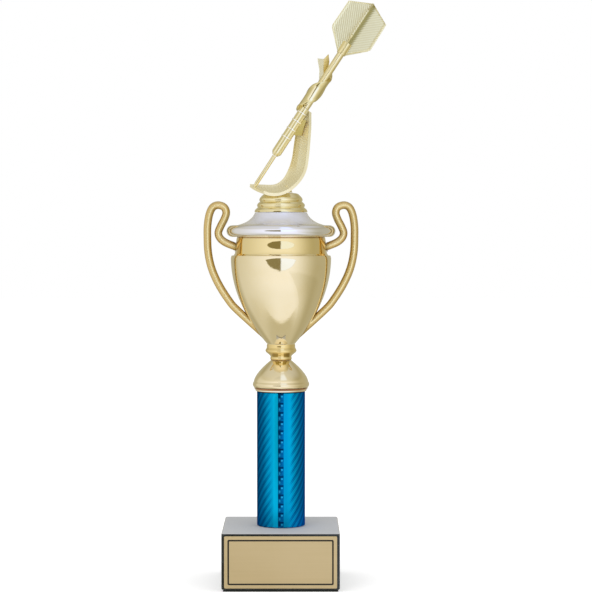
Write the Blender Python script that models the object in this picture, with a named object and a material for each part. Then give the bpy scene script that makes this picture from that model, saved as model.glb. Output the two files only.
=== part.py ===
"""Column trophy: marble base, foil column, two-handled cup with a lid, and a turning dart figure.

Metres, +Z up. The origin is the centre of the underside, on the axis of the tie rod that
clamps the whole stack. The name plate faces -Y. Everything that shares the rod's axis is turned
about +Z, and the dart is built along its own empty, which leans it to the right.
"""
import math

import bmesh
import bpy
from mathutils import Vector
from mathutils.geometry import interpolate_bezier

# ---------------------------------------------------------------- driving dimensions (metres)
GAP = 0.0003                    # between pieces that touch or turn on each other

# tie rod and its hardware, 1/4-20
ROD_DIAMETER = 0.00635
ROD_PLAY = 0.0004               # radial room round the rod in every piece it passes through
ROD_TAIL = 0.0012               # rod below the base nut
NUT_FLATS = 0.0111
NUT_HEIGHT = 0.0056
JAM_NUT_HEIGHT = 0.0040
WASHER_DIAMETER = 0.0185
WASHER_THICKNESS = 0.0014
SPRING_WASHER_DIAMETER = 0.0124
SPRING_WASHER_THICKNESS = 0.0016
SPRING_WASHER_SPLIT = 0.0010

# base
PAD_THICKNESS = 0.0010
PAD_INSET = 0.0010
BASE_WIDTH = 0.0762
BASE_DEPTH = 0.0762
BASE_HEIGHT = 0.0363
BASE_EDGE = 0.0006
RECESS_DIAMETER = 0.0240
RECESS_DEPTH = 0.0145
PLATE_WIDTH = 0.0726
PLATE_HEIGHT = 0.0336
PLATE_THICKNESS = 0.0006
PLATE_CORNER = 0.0008
PLATE_TOP_MARGIN = 0.00155
TAPE_THICKNESS = 0.0004
TAPE_INSET = 0.0025

# column
COLUMN_DIAMETER = 0.03175
COLUMN_LENGTH = 0.0882
COLUMN_WALL = 0.0015
PLUG_HEIGHT = 0.0100
COLLAR_RADIUS = 0.01775
COLLAR_HEIGHT = 0.0025
# From the top down: (share of the lip cut back, share of the height).
COLLAR_CURVE = [(0.08, 1.0), (0.0, 0.72), (0.2, 0.48), (0.45, 0.2)]

# cup foot
FOOT_RADIUS = 0.0180
FOOT_BEAD = 0.0007              # how far the rolled edge stands out
FOOT_BEAD_HEIGHT = 0.0036
FOOT_DOME_HEIGHT = 0.0139
FOOT_TOP_RADIUS = 0.0069
FOOT_FULLNESS = 1.55            # power of the dome's curve
FOOT_WALL = 0.0013
FOOT_BEAD_STEPS = 5

# cup knop
KNOP_HEIGHT = 0.0106
KNOP_RADIUS = 0.0104
KNOP_WAIST = 0.0069
# From the top down: (share of the widest ring's radius, or of the waist's, share of the height).
KNOP_RINGS = [(0.885, 1.0), (0.913, 0.88), (0.894, 0.79), (0.942, 0.7), (1.0, 0.6),
              (0.952, 0.49), (0.808, 0.38)]
WAIST_RINGS = [(1.043, 0.28), (0.986, 0.2), (1.029, 0.13), (1.029, 0.08), (0.986, 0.0)]

# cup bowl
BOWL_BOTTOM_RADIUS = 0.0094
BOWL_RADIUS = 0.0331
BOWL_DEPTH = 0.0574             # from the bottom to the widest ring
BOWL_FULLNESS = 2.05            # power of the bowl's curve
BOWL_WALL = 0.0013
BOWL_FLOOR = 0.0020
BOWL_SPACING = 0.8              # crowds the outline's points towards the widest ring
SHOULDER_HEIGHT = 0.0044        # from the widest ring to the lip
# From the lip down: (share of the way out, share of the way down).
SHOULDER_CURVE = [(0.0, 0.0), (0.5, 0.28), (0.88, 0.62), (1.0, 0.78)]
NECK_RADIUS = 0.02975
NECK_HEIGHT = 0.0081
NECK_WALL = 0.0013

# lid
LID_RIM_RADIUS = 0.0321         # centre line of the round rim
LID_RIM_THICKNESS = 0.0076
LID_RIM_RISE = 0.0036           # its centre line above the seat
LID_RIM_START = math.radians(118)
LID_RIM_SWEEP = math.radians(222)
LID_TOP_RADIUS = 0.0171
LID_FLARE_RADIUS = 0.0273
LID_FLARE_RISE = 0.0079         # the flare's foot above the seat
LID_FLARE_HEIGHT = 0.0079
# The flare's pull from its top: (share of the way out, share of the way down).
LID_FLARE_PULL = [(0.15, 0.47), (0.48, 0.81)]
LID_SPIGOT_DEPTH = 0.0030
LID_WALL = 0.0013

# handles
HANDLE_DIAMETER = 0.0051
SCREW_DIAMETER = 0.0018
SCREW_HEAD_DIAMETER = 0.0038
SCREW_HEAD_HEIGHT = 0.0012
SCREW_LENGTH = 0.0064
SCREW_UP_NECK = 0.0023          # upper screws, above the bottom of the neck
SCREW_UP_BOWL = 0.0184          # lower screws, above the bottom of the bowl

# figure base and its threaded insert
FIGURE_FLANGE_RADIUS = 0.0174
FIGURE_BASE_HEIGHT = 0.0125
FIGURE_HOLLOW_RADIUS = 0.0102
FIGURE_HOLLOW_DEPTH = 0.0060
# From the top down: (share of the flange's radius, share of the height).
FIGURE_RINGS = [(0.529, 1.0), (0.644, 0.97), (0.753, 0.82), (0.816, 0.71), (0.822, 0.6),
                (0.787, 0.555), (0.845, 0.5), (0.908, 0.4), (0.902, 0.3), (0.868, 0.25),
                (0.943, 0.18), (1.0, 0.08), (1.0, 0.0)]
INSERT_DIAMETER = 0.0100
INSERT_HEIGHT = 0.0052

# dart, measured along its own axis from the point
DART_LEAN = math.radians(33.1)
POINT_LEFT = 0.0168             # the point, left of the rod
POINT_UP = 0.0053               # and above the figure base
NEEDLE_DIAMETER = 0.0026
NEEDLE_LENGTH = 0.0229
NEEDLE_SINK = 0.0016            # blunt point run on towards the ribbon
NEEDLE_TAPER = 0.0028
NOSE_LENGTH = 0.0026
BARREL_DIAMETER = 0.00665
BARREL_LENGTH = 0.0346
BARREL_RING = 0.00025           # how far the rings stand out
BARREL_RING_WIDTH = 0.0011
BARREL_RING_PITCH = 0.0063
BARREL_RINGS = 4
BARREL_TOP_BAND = 0.0033        # plain barrel above the topmost ring
SHAFT_DIAMETER = 0.0049
SHAFT_LENGTH = 0.0487
FLIGHT_SPAN = 0.0302
FLIGHT_LENGTH = 0.0394
FLIGHT_THICKNESS = 0.0011
FLIGHT_SLEEVE_DIAMETER = 0.0062
FLIGHT_SLEEVE_LENGTH = 0.0085
FLIGHT_LAP = 0.0064             # how far the shaft reaches into the sleeve
FIN_ROOT = 0.0024               # half the width of the fins at the start of the sleeve
FIN_WIDE = 0.0130               # where they reach their full width, from the same start
FIN_CORNER = (0.0010, 0.0018)   # corner cut off there, inwards and down
FIN_SHOULDER = 0.0322           # where they start to close
FIN_TAPER = 0.0004              # how much each has narrowed by then

# ribbon
RIBBON_THICKNESS = 0.0013
RIBBON_RIM_HEIGHT = 0.0007
RIBBON_RIM_WIDTH = 0.0011
RIBBON_HOLLOW = 0.0006          # how far the face is dished between its rims
POST_DIAMETER = 0.0042
POST_HEIGHT = 0.0066            # before the ribbon cuts it off
WRAP_TAPER = 0.25               # share of its thickness by which the wrap's edges close
WEB_THICKNESS = 0.0022
TAIL_THICKNESS = 0.0012

# roundness
STEPS = 32                      # round the rod
SMALL_STEPS = 16                # round the dart and the screws
BAR_SIDES = 8                   # round a handle
CURVE_STEPS = 6                 # along each curved stretch of an outline
HANDLE_STEPS = 3                # between two points of the handle
RIBBON_STEPS = 2                # between two points of the ribbon's rims
SHARP_ANGLE = math.radians(35)  # edges over this stay sharp
MERGE = 0.000001

# ---------------------------------------------------------------- places up the rod
pad_top = PAD_THICKNESS
base_bottom = pad_top + GAP
base_top = base_bottom + BASE_HEIGHT
recess_top = base_bottom + RECESS_DEPTH
column_bottom = base_top + GAP
column_top = column_bottom + COLUMN_LENGTH
collar_bottom = column_top + GAP
collar_top = collar_bottom + COLLAR_HEIGHT
foot_bottom = collar_top + GAP
foot_top = foot_bottom + FOOT_BEAD_HEIGHT + FOOT_DOME_HEIGHT
knop_bottom = foot_top + GAP
knop_top = knop_bottom + KNOP_HEIGHT
bowl_bottom = knop_top + GAP
bowl_widest = bowl_bottom + BOWL_DEPTH
bowl_top = bowl_widest + SHOULDER_HEIGHT
neck_bottom = bowl_top + GAP
neck_top = neck_bottom + NECK_HEIGHT
lid_seat = neck_top + GAP
lid_rim_height = lid_seat + LID_RIM_RISE
flare_bottom = lid_seat + LID_FLARE_RISE
lid_top = flare_bottom + LID_FLARE_HEIGHT
figure_bottom = lid_top + GAP
figure_top = figure_bottom + FIGURE_BASE_HEIGHT

rod_radius = ROD_DIAMETER / 2
rod_hole = rod_radius + ROD_PLAY
washer_top = recess_top - GAP
spring_top = washer_top - WASHER_THICKNESS - GAP
nut_top = spring_top - SPRING_WASHER_THICKNESS - GAP
rod_bottom = nut_top - NUT_HEIGHT - ROD_TAIL
insert_bottom = figure_bottom + FIGURE_HOLLOW_DEPTH + GAP
insert_top = insert_bottom + INSERT_HEIGHT
rod_top = insert_top - GAP


# ---------------------------------------------------------------- helpers
def clear_scene():
    for item in list(bpy.data.objects):
        bpy.data.objects.remove(item, do_unlink=True)


def finish(name, color, metallic, roughness):
    """A Principled material in the piece's own colour."""
    found = bpy.data.materials.get(name)
    if found:
        return found
    made = bpy.data.materials.new(name)
    made.use_nodes = True
    shader = made.node_tree.nodes["Principled BSDF"]
    shader.inputs["Base Color"].default_value = (*color, 1)
    shader.inputs["Metallic"].default_value = metallic
    shader.inputs["Roughness"].default_value = roughness
    made.diffuse_color = (*color, 1)
    return made


GOLD = finish("gold_plate", (0.72, 0.58, 0.28), 1.0, 0.16)
PALE_GOLD = finish("figure_gold", (0.76, 0.66, 0.37), 1.0, 0.28)
DEEP_GOLD = finish("handle_gold", (0.70, 0.49, 0.14), 1.0, 0.2)
COPPER = finish("collar_copper", (0.66, 0.44, 0.27), 1.0, 0.2)
SILVER = finish("lid_silver", (0.66, 0.65, 0.68), 1.0, 0.12)
FOIL = finish("blue_foil", (0.0, 0.25, 0.55), 0.8, 0.25)
STONE = finish("dark_marble", (0.02, 0.022, 0.02), 0.0, 0.15)
PLATE = finish("plate_brass", (0.62, 0.5, 0.25), 1.0, 0.35)
STEEL = finish("zinc_steel", (0.6, 0.6, 0.62), 1.0, 0.35)
BRASS = finish("insert_brass", (0.7, 0.5, 0.2), 1.0, 0.35)
RUBBER = finish("pad_rubber", (0.02, 0.02, 0.02), 0.0, 0.9)
TAPE = finish("tape", (0.8, 0.8, 0.78), 0.0, 0.8)
WOOD = finish("plug_wood", (0.55, 0.38, 0.2), 0.0, 0.7)


def solid(name, bm, material, parent=None):
    """Make an object of a bmesh, with its faces pointing out and round faces shaded smooth."""
    bmesh.ops.recalc_face_normals(bm, faces=bm.faces)
    mesh = bpy.data.meshes.new(name)
    bm.to_mesh(mesh)
    bm.free()
    mesh.shade_smooth()
    mesh.set_sharp_from_angle(angle=SHARP_ANGLE)
    mesh.materials.append(material)
    item = bpy.data.objects.new(name, mesh)
    bpy.context.collection.objects.link(item)
    item.parent = parent
    return item


def turned(name, outline, material, steps=STEPS, parent=None):
    """Turn a closed outline of (radius, height) points about +Z."""
    bm = bmesh.new()
    ring = [bm.verts.new((radius, 0, height)) for radius, height in outline]
    edges = [bm.edges.new(pair) for pair in zip(ring, ring[1:] + ring[:1])]
    bmesh.ops.spin(bm, geom=ring + edges, cent=(0, 0, 0), axis=(0, 0, 1),
                   angle=math.tau, steps=steps, use_merge=True)
    bmesh.ops.remove_doubles(bm, verts=bm.verts, dist=MERGE)
    return solid(name, bm, material, parent)


def bored(outline, radius):
    """Close an outline that runs down a piece's outside with a straight bore round the rod."""
    return outline + [(radius, outline[-1][1]), (radius, outline[0][1])]


def prism(name, corners, low, high, material, parent=None, axis="Z"):
    """Extrude a flat outline between two levels along Z, or along Y for outlines in (x, z)."""
    bm = bmesh.new()
    if axis == "Z":
        flat = [bm.verts.new((x, y, low)) for x, y in corners]
        step = Vector((0, 0, high - low))
    else:
        flat = [bm.verts.new((x, low, z)) for x, z in corners]
        step = Vector((0, high - low, 0))
    face = bm.faces.new(flat)
    made = bmesh.ops.extrude_face_region(bm, geom=[face])["geom"]
    bmesh.ops.translate(bm, verts=[v for v in made if isinstance(v, bmesh.types.BMVert)], vec=step)
    return solid(name, bm, material, parent)


def rectangle(width, depth):
    """Corners of a rectangle round the origin."""
    return [(-width / 2, -depth / 2), (width / 2, -depth / 2),
            (width / 2, depth / 2), (-width / 2, depth / 2)]


def loft(name, sections, material, parent=None):
    """Skin a row of closed sections that all have as many points, and cap both ends."""
    bm = bmesh.new()
    rings = [[bm.verts.new(point) for point in section] for section in sections]
    for near, far in zip(rings, rings[1:]):
        for i in range(len(near)):
            j = (i + 1) % len(near)
            bm.faces.new((near[i], near[j], far[j], far[i]))
    bm.faces.new(rings[0])
    bm.faces.new(reversed(rings[-1]))
    bmesh.ops.triangulate(bm, faces=[face for face in bm.faces if len(face.verts) > 3])
    return solid(name, bm, material, parent)


def smooth(points, steps):
    """Points along a smooth curve through the given ones."""
    knots = [Vector(point) for point in points]
    ends = [2 * knots[0] - knots[1]] + knots + [2 * knots[-1] - knots[-2]]
    path = [knots[0]]
    for before, start, stop, after in zip(ends, ends[1:], ends[2:], ends[3:]):
        run = interpolate_bezier(start, start + (stop - before) / 6,
                                 stop - (after - start) / 6, stop, steps + 1)
        path += run[1:]
    return path


def cutter(item):
    """Keep a shape only as a cutter."""
    item.hide_render = True
    item.display_type = "WIRE"
    return item


def cut(item, tool):
    """Take a cutter's shape out of a piece."""
    change = item.modifiers.new("cut " + tool.name, "BOOLEAN")
    change.operation = "DIFFERENCE"
    change.solver = "EXACT"
    change.object = tool


def join(item, tool):
    """Fuse another shape onto a piece, as one body."""
    change = item.modifiers.new("join " + tool.name, "BOOLEAN")
    change.operation = "UNION"
    change.solver = "EXACT"
    change.object = cutter(tool)


def bevel(item, width):
    change = item.modifiers.new("edge", "BEVEL")
    change.width = width
    change.segments = 1
    change.limit_method = "ANGLE"


# ---------------------------------------------------------------- base
def make_base():
    prism("base_pad", rectangle(BASE_WIDTH - 2 * PAD_INSET, BASE_DEPTH - 2 * PAD_INSET),
          0, pad_top, RUBBER)
    block = prism("marble_base", rectangle(BASE_WIDTH, BASE_DEPTH), base_bottom, base_top, STONE)
    bevel(block, BASE_EDGE)
    below = base_bottom - PAD_THICKNESS
    above = base_top + PAD_THICKNESS
    recess = RECESS_DIAMETER / 2
    cut(block, cutter(turned("rod_bore", [
        (0, above), (rod_hole, above), (rod_hole, recess_top), (recess, recess_top),
        (recess, below), (0, below)], STONE)))

    plate_top = base_top - PLATE_TOP_MARGIN
    middle = plate_top - PLATE_HEIGHT / 2
    tape_front = -BASE_DEPTH / 2 - GAP - TAPE_THICKNESS
    plate_front = tape_front - GAP - PLATE_THICKNESS
    tape_width = PLATE_WIDTH - 2 * TAPE_INSET
    tape_height = PLATE_HEIGHT - 2 * TAPE_INSET
    prism("plate_tape", [(x, middle + z) for x, z in rectangle(tape_width, tape_height)],
          tape_front, tape_front + TAPE_THICKNESS, TAPE, axis="Y")
    half_width = PLATE_WIDTH / 2
    half_height = PLATE_HEIGHT / 2
    corner = PLATE_CORNER
    clipped = [(half_width, half_height - corner), (half_width - corner, half_height),
               (corner - half_width, half_height), (-half_width, half_height - corner),
               (-half_width, corner - half_height), (corner - half_width, -half_height),
               (half_width - corner, -half_height), (half_width, corner - half_height)]
    prism("name_plate", [(x, middle + z) for x, z in clipped],
          plate_front, plate_front + PLATE_THICKNESS, PLATE, axis="Y")


def hexagon(flats):
    """Corners of a hexagon with this width across its flats."""
    reach = flats / math.sqrt(3)
    return [(reach * math.cos(math.tau * i / 6), reach * math.sin(math.tau * i / 6))
            for i in range(6)]


def make_nut(name, bottom, height):
    nut = prism(name, hexagon(NUT_FLATS), bottom, bottom + height, STEEL)
    tall = height + 2 * ROD_PLAY
    low = bottom - ROD_PLAY
    cut(nut, cutter(turned(name + "_thread", [
        (0, low + tall), (rod_hole, low + tall), (rod_hole, low), (0, low)], STEEL)))


def make_washer(name, bottom, diameter, thickness):
    top = bottom + thickness
    return turned(name, bored([(diameter / 2, top), (diameter / 2, bottom)], rod_hole), STEEL)


def make_hardware():
    turned("tie_rod", [(0, rod_top), (rod_radius, rod_top), (rod_radius, rod_bottom),
                       (0, rod_bottom)], STEEL)
    make_washer("base_washer", washer_top - WASHER_THICKNESS, WASHER_DIAMETER, WASHER_THICKNESS)
    spring = make_washer("spring_washer", spring_top - SPRING_WASHER_THICKNESS,
                         SPRING_WASHER_DIAMETER, SPRING_WASHER_THICKNESS)
    half = SPRING_WASHER_SPLIT / 2
    split = prism("washer_split", [(0, -half), (SPRING_WASHER_DIAMETER, -half),
                                   (SPRING_WASHER_DIAMETER, half), (0, half)],
                  rod_bottom, recess_top, STEEL)
    cut(spring, cutter(split))
    make_nut("base_nut", nut_top - NUT_HEIGHT, NUT_HEIGHT)
    make_washer("lid_washer", lid_top + GAP, WASHER_DIAMETER, WASHER_THICKNESS)
    make_nut("lid_nut", lid_top + WASHER_THICKNESS + 2 * GAP, JAM_NUT_HEIGHT)


# ---------------------------------------------------------------- column
def make_column():
    outer = COLUMN_DIAMETER / 2
    inner = outer - COLUMN_WALL
    turned("column_tube", bored([(outer, column_top), (outer, column_bottom)], inner), FOIL)
    fit = inner - GAP
    for name, bottom in (("column_bottom_plug", column_bottom),
                         ("column_top_plug", column_top - PLUG_HEIGHT)):
        turned(name, bored([(fit, bottom + PLUG_HEIGHT), (fit, bottom)], rod_hole), WOOD)
    lip = COLLAR_RADIUS - outer
    curve = [(COLLAR_RADIUS - back * lip, collar_bottom + share * COLLAR_HEIGHT)
             for back, share in COLLAR_CURVE]
    turned("column_collar", bored(curve + [(outer, collar_bottom)], rod_hole), COPPER)


# ---------------------------------------------------------------- cup
def foot_outline(shrink):
    """The dome of the foot, from its top down, made smaller by a wall."""
    top = FOOT_TOP_RADIUS - shrink
    wide = FOOT_RADIUS - shrink
    points = []
    for i in range(CURVE_STEPS + 1):
        drop = i / CURVE_STEPS
        rise = 1 - drop
        points.append((top + (wide - top) * (1 - rise ** FOOT_FULLNESS),
                       foot_top - shrink - FOOT_DOME_HEIGHT * drop))
    return points


def bowl_radius(height):
    """The bowl's outer radius at a height above its bottom."""
    drop = max(0.0, 1 - height / BOWL_DEPTH)
    return BOWL_BOTTOM_RADIUS + (BOWL_RADIUS - BOWL_BOTTOM_RADIUS) * (1 - drop ** BOWL_FULLNESS)


def bowl_outline(shrink, floor):
    """The curve of the bowl, from its widest ring down, made smaller by a wall."""
    points = []
    for i in range(CURVE_STEPS + 1):
        height = floor + (BOWL_DEPTH - floor) * (1 - (i / CURVE_STEPS) ** BOWL_SPACING)
        points.append((bowl_radius(height) - shrink, bowl_bottom + height))
    return points


def shoulder_outline(grow):
    """The rounded shoulder from the lip down to the widest ring."""
    slope = BOWL_RADIUS - NECK_RADIUS
    return [(NECK_RADIUS + out * slope + grow, bowl_top - down * SHOULDER_HEIGHT)
            for out, down in SHOULDER_CURVE]


def make_cup():
    bead_top = foot_bottom + FOOT_BEAD_HEIGHT
    bead = [(FOOT_RADIUS + FOOT_BEAD * math.sin(math.pi * i / FOOT_BEAD_STEPS),
             bead_top - FOOT_BEAD_HEIGHT * i / FOOT_BEAD_STEPS)
            for i in range(1, FOOT_BEAD_STEPS + 1)]
    inside = foot_outline(FOOT_WALL)
    turned("foot_dome", foot_outline(0) + bead + [(FOOT_RADIUS - FOOT_WALL, foot_bottom)]
           + inside[::-1] + [(rod_hole, inside[0][1]), (rod_hole, foot_top)], GOLD)

    rings = [(across * KNOP_RADIUS, up) for across, up in KNOP_RINGS]
    rings += [(across * KNOP_WAIST, up) for across, up in WAIST_RINGS]
    turned("stem_knop", bored([(radius, knop_bottom + up * KNOP_HEIGHT)
                               for radius, up in rings], rod_hole), GOLD)

    inner = bowl_outline(BOWL_WALL, BOWL_FLOOR)
    lip = NECK_RADIUS - BOWL_WALL
    bowl = turned("cup_bowl", shoulder_outline(0) + bowl_outline(0, 0)
                  + [(rod_hole, bowl_bottom), (rod_hole, inner[-1][1])] + inner[::-1]
                  + [(lip, bowl_top - SHOULDER_HEIGHT / 2), (lip, bowl_top)], GOLD)
    band = turned("cup_neck", bored([(NECK_RADIUS, neck_top), (NECK_RADIUS, neck_bottom)],
                                    NECK_RADIUS - NECK_WALL), GOLD)
    return bowl, band


def make_lid():
    tube = LID_RIM_THICKNESS / 2
    spread = LID_FLARE_RADIUS - LID_TOP_RADIUS
    pulls = [Vector((LID_TOP_RADIUS + out * spread, lid_top - down * LID_FLARE_HEIGHT, 0))
             for out, down in [(0, 0)] + LID_FLARE_PULL + [(1, 1)]]
    flare = interpolate_bezier(*pulls, CURVE_STEPS)
    outside = [(point.x, point.y) for point in flare]
    rim = []
    for i in range(CURVE_STEPS + 3):
        angle = LID_RIM_START - LID_RIM_SWEEP * i / (CURVE_STEPS + 2)
        rim.append((LID_RIM_RADIUS + tube * math.cos(angle),
                    lid_rim_height + tube * math.sin(angle)))
    spigot = NECK_RADIUS - NECK_WALL - GAP
    spigot_bottom = lid_seat - LID_SPIGOT_DEPTH
    inside = [(radius - LID_WALL, height - LID_WALL) for radius, height in outside]
    skirt = spigot - LID_WALL
    turned("lid", outside + rim + [
        (rim[-1][0], lid_seat), (spigot, lid_seat), (spigot, spigot_bottom),
        (skirt, spigot_bottom), (skirt, flare_bottom - 2 * LID_WALL)] + inside[::-1]
        + [(rod_hole, lid_top - LID_WALL), (rod_hole, lid_top)], SILVER)


# ---------------------------------------------------------------- handles
# Centre line of the right handle's scroll, (x, z) from the rod and the bottom of the neck.
HANDLE_SCROLL = [
    (0.0268, 0.0004), (0.0301, 0.0018), (0.0366, 0.0045), (0.0402, 0.0075), (0.0413, 0.0110),
    (0.0398, 0.0151), (0.0373, 0.0200), (0.0361, 0.0242), (0.0375, 0.0277), (0.0414, 0.0291),
    (0.0449, 0.0277), (0.0471, 0.0233), (0.0483, 0.0165), (0.0485, 0.0090)]
# Of its arm, (x, distance below the bottom of the neck), drawn for a lower screw this far down.
HANDLE_ARM = [(0.0480, 0.0020), (0.0457, 0.0126), (0.0411, 0.0231), (0.0344, 0.0337)]
HANDLE_ARM_DROP = 0.0437
# And of its foot, (x, height above the lower screw), run on into the bowl that cuts it off.
HANDLE_FOOT = [(0.0290, 0.0038), (0.0145, -0.0094), (0.0096, -0.0138)]


def tube_section(centre, along, radius, sides):
    """A ring of points square to the run of a bar that stays in the XZ plane."""
    side = Vector((0, 1, 0))
    up = along.cross(side).normalized()
    turns = [math.tau * (i + 0.5) / sides for i in range(sides)]
    return [centre + radius * (math.cos(turn) * side + math.sin(turn) * up) for turn in turns]


def screw_shape(name, head_back, height, side, grow=0.0):
    """A handle screw along X, its head inside the cup; grown, it is the hole it needs."""
    head = SCREW_HEAD_DIAMETER / 2 + grow
    shank = SCREW_DIAMETER / 2 + grow
    shoulder = SCREW_HEAD_HEIGHT
    item = turned(name, [(0, SCREW_LENGTH + grow), (shank, SCREW_LENGTH + grow),
                         (shank, shoulder), (head, shoulder), (head, -grow), (0, -grow)],
                  STEEL, SMALL_STEPS)
    item.rotation_euler = (0, side * math.pi / 2, 0)
    item.location = (side * head_back, 0, height)
    return item


def make_handles(bowl, band):
    low = bowl_bottom
    envelope = cutter(turned("cup_envelope", [(NECK_RADIUS + GAP, neck_top)]
                             + shoulder_outline(GAP) + bowl_outline(-GAP, 0)
                             + [(rod_hole, low), (rod_hole, neck_top)], GOLD))
    screw_up = neck_bottom + SCREW_UP_NECK
    screw_down = bowl_bottom + SCREW_UP_BOWL
    stretch = (neck_bottom - screw_down) / HANDLE_ARM_DROP
    path = smooth([(x, 0, neck_bottom + z) for x, z in HANDLE_SCROLL]
                  + [(x, 0, neck_bottom - down * stretch) for x, down in HANDLE_ARM]
                  + [(x, 0, screw_down + z) for x, z in HANDLE_FOOT], HANDLE_STEPS)
    upper_back = NECK_RADIUS - NECK_WALL - GAP - SCREW_HEAD_HEIGHT
    head_bottom = SCREW_UP_BOWL - SCREW_HEAD_DIAMETER / 2
    lower_back = bowl_radius(head_bottom) - BOWL_WALL - GAP - SCREW_HEAD_HEIGHT
    for word, side in (("left", -1), ("right", 1)):
        points = [Vector((side * point.x, 0, point.z)) for point in path]
        sections = []
        for i, point in enumerate(points):
            ahead = points[min(i + 1, len(points) - 1)]
            behind = points[max(i - 1, 0)]
            sections.append(tube_section(point, ahead - behind, HANDLE_DIAMETER / 2, BAR_SIDES))
        bar = loft(word + "_handle", sections, DEEP_GOLD)
        cut(bar, envelope)
        for place, back, height, wall in (("upper", upper_back, screw_up, band),
                                          ("lower", lower_back, screw_down, bowl)):
            name = "handle_screw_" + place + "_" + word
            screw_shape(name, back, height, side)
            hole = cutter(screw_shape("hole_" + place + "_" + word, back, height, side, GAP))
            cut(bar, hole)
            cut(wall, hole)


# ---------------------------------------------------------------- figure
# Rims of the ribbon's sweep, (x, y, height above the figure base), from the dart's point round
# under it and up behind the barrel. Each pair lies across the ribbon.
SWEEP_BACK = [(-0.0205, 0.0030, 0.0054), (-0.0125, 0.0036, 0.0051), (-0.0042, 0.0042, 0.0053),
              (0.0014, 0.0048, 0.0088), (0.0052, 0.0050, 0.0152), (0.0077, 0.0050, 0.0228),
              (0.0090, 0.0050, 0.0315), (0.0103, 0.0050, 0.0390), (0.0135, 0.0052, 0.0475),
              (0.0168, 0.0054, 0.0540)]
SWEEP_FRONT = [(-0.0110, -0.0150, 0.0004), (-0.0072, -0.0150, -0.0008),
               (-0.0012, -0.0148, -0.0008), (0.0056, -0.0145, 0.0020),
               (0.0120, -0.0135, 0.0080), (0.0158, -0.0125, 0.0152), (0.0174, -0.0112, 0.0248),
               (0.0183, -0.0092, 0.0345), (0.0189, -0.0060, 0.0440), (0.0190, 0.0005, 0.0535)]
# The wrap round the dart: (degrees round it, near edge, far edge, outer radius); 0 degrees is
# to the right and 270 to the front, and the edges are measured from the dart's point.
WRAP = [(100, 0.0560, 0.0645, 0.0056), (140, 0.0560, 0.0675, 0.0056),
        (180, 0.0572, 0.0717, 0.0056), (215, 0.0592, 0.0755, 0.0060),
        (250, 0.0618, 0.0790, 0.0060), (285, 0.0648, 0.0815, 0.0056),
        (320, 0.0680, 0.0832, 0.0052), (350, 0.0725, 0.0850, 0.0048),
        (380, 0.0785, 0.0870, 0.0044), (410, 0.0825, 0.0890, 0.0042)]
# The forked tail behind the shaft, (x, height above the figure base).
TAIL = [(0.0243, 0.0727), (0.0253, 0.0750), (0.0253, 0.0814), (0.0240, 0.0888),
        (0.0282, 0.0884), (0.0314, 0.0919), (0.0320, 0.0866), (0.0308, 0.0812),
        (0.0290, 0.0766)]
POST_PLACE = (0.0050, -0.0045)
# The web between the barrel and the ribbon, (x, height above the figure base).
WEB = [(0.0084, 0.0386), (0.0092, 0.0379), (0.0136, 0.0379), (0.0166, 0.0480), (0.0120, 0.0480)]


def ribbon_sections(grow, above=0.0):
    """Sections of the dished strip between its two rims, grown all round, and more above."""
    back = smooth([(x, y, figure_top + z) for x, y, z in SWEEP_BACK], RIBBON_STEPS)
    front = smooth([(x, y, figure_top + z) for x, y, z in SWEEP_FRONT], RIBBON_STEPS)
    middle = [(a + b) / 2 for a, b in zip(back, front)]
    rim = RIBBON_RIM_WIDTH
    sections = []
    for i, centre in enumerate(middle):
        along = middle[min(i + 1, len(middle) - 1)] - middle[max(i - 1, 0)]
        across = (front[i] - back[i]).normalized()
        half = (front[i] - back[i]).length / 2 + grow
        face = across.cross(along).normalized()
        high = RIBBON_RIM_HEIGHT + grow + above
        under = -RIBBON_THICKNESS - grow
        floor = grow + above
        shape = [(-half, under), (-half, high), (rim - half, high), (rim - half, floor),
                 (0, floor - RIBBON_HOLLOW), (half - rim, floor), (half - rim, high), (half, high),
                 (half, under), (0, under - RIBBON_HOLLOW)]
        sections.append([centre + a * across + b * face for a, b in shape])
    return sections


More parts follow.
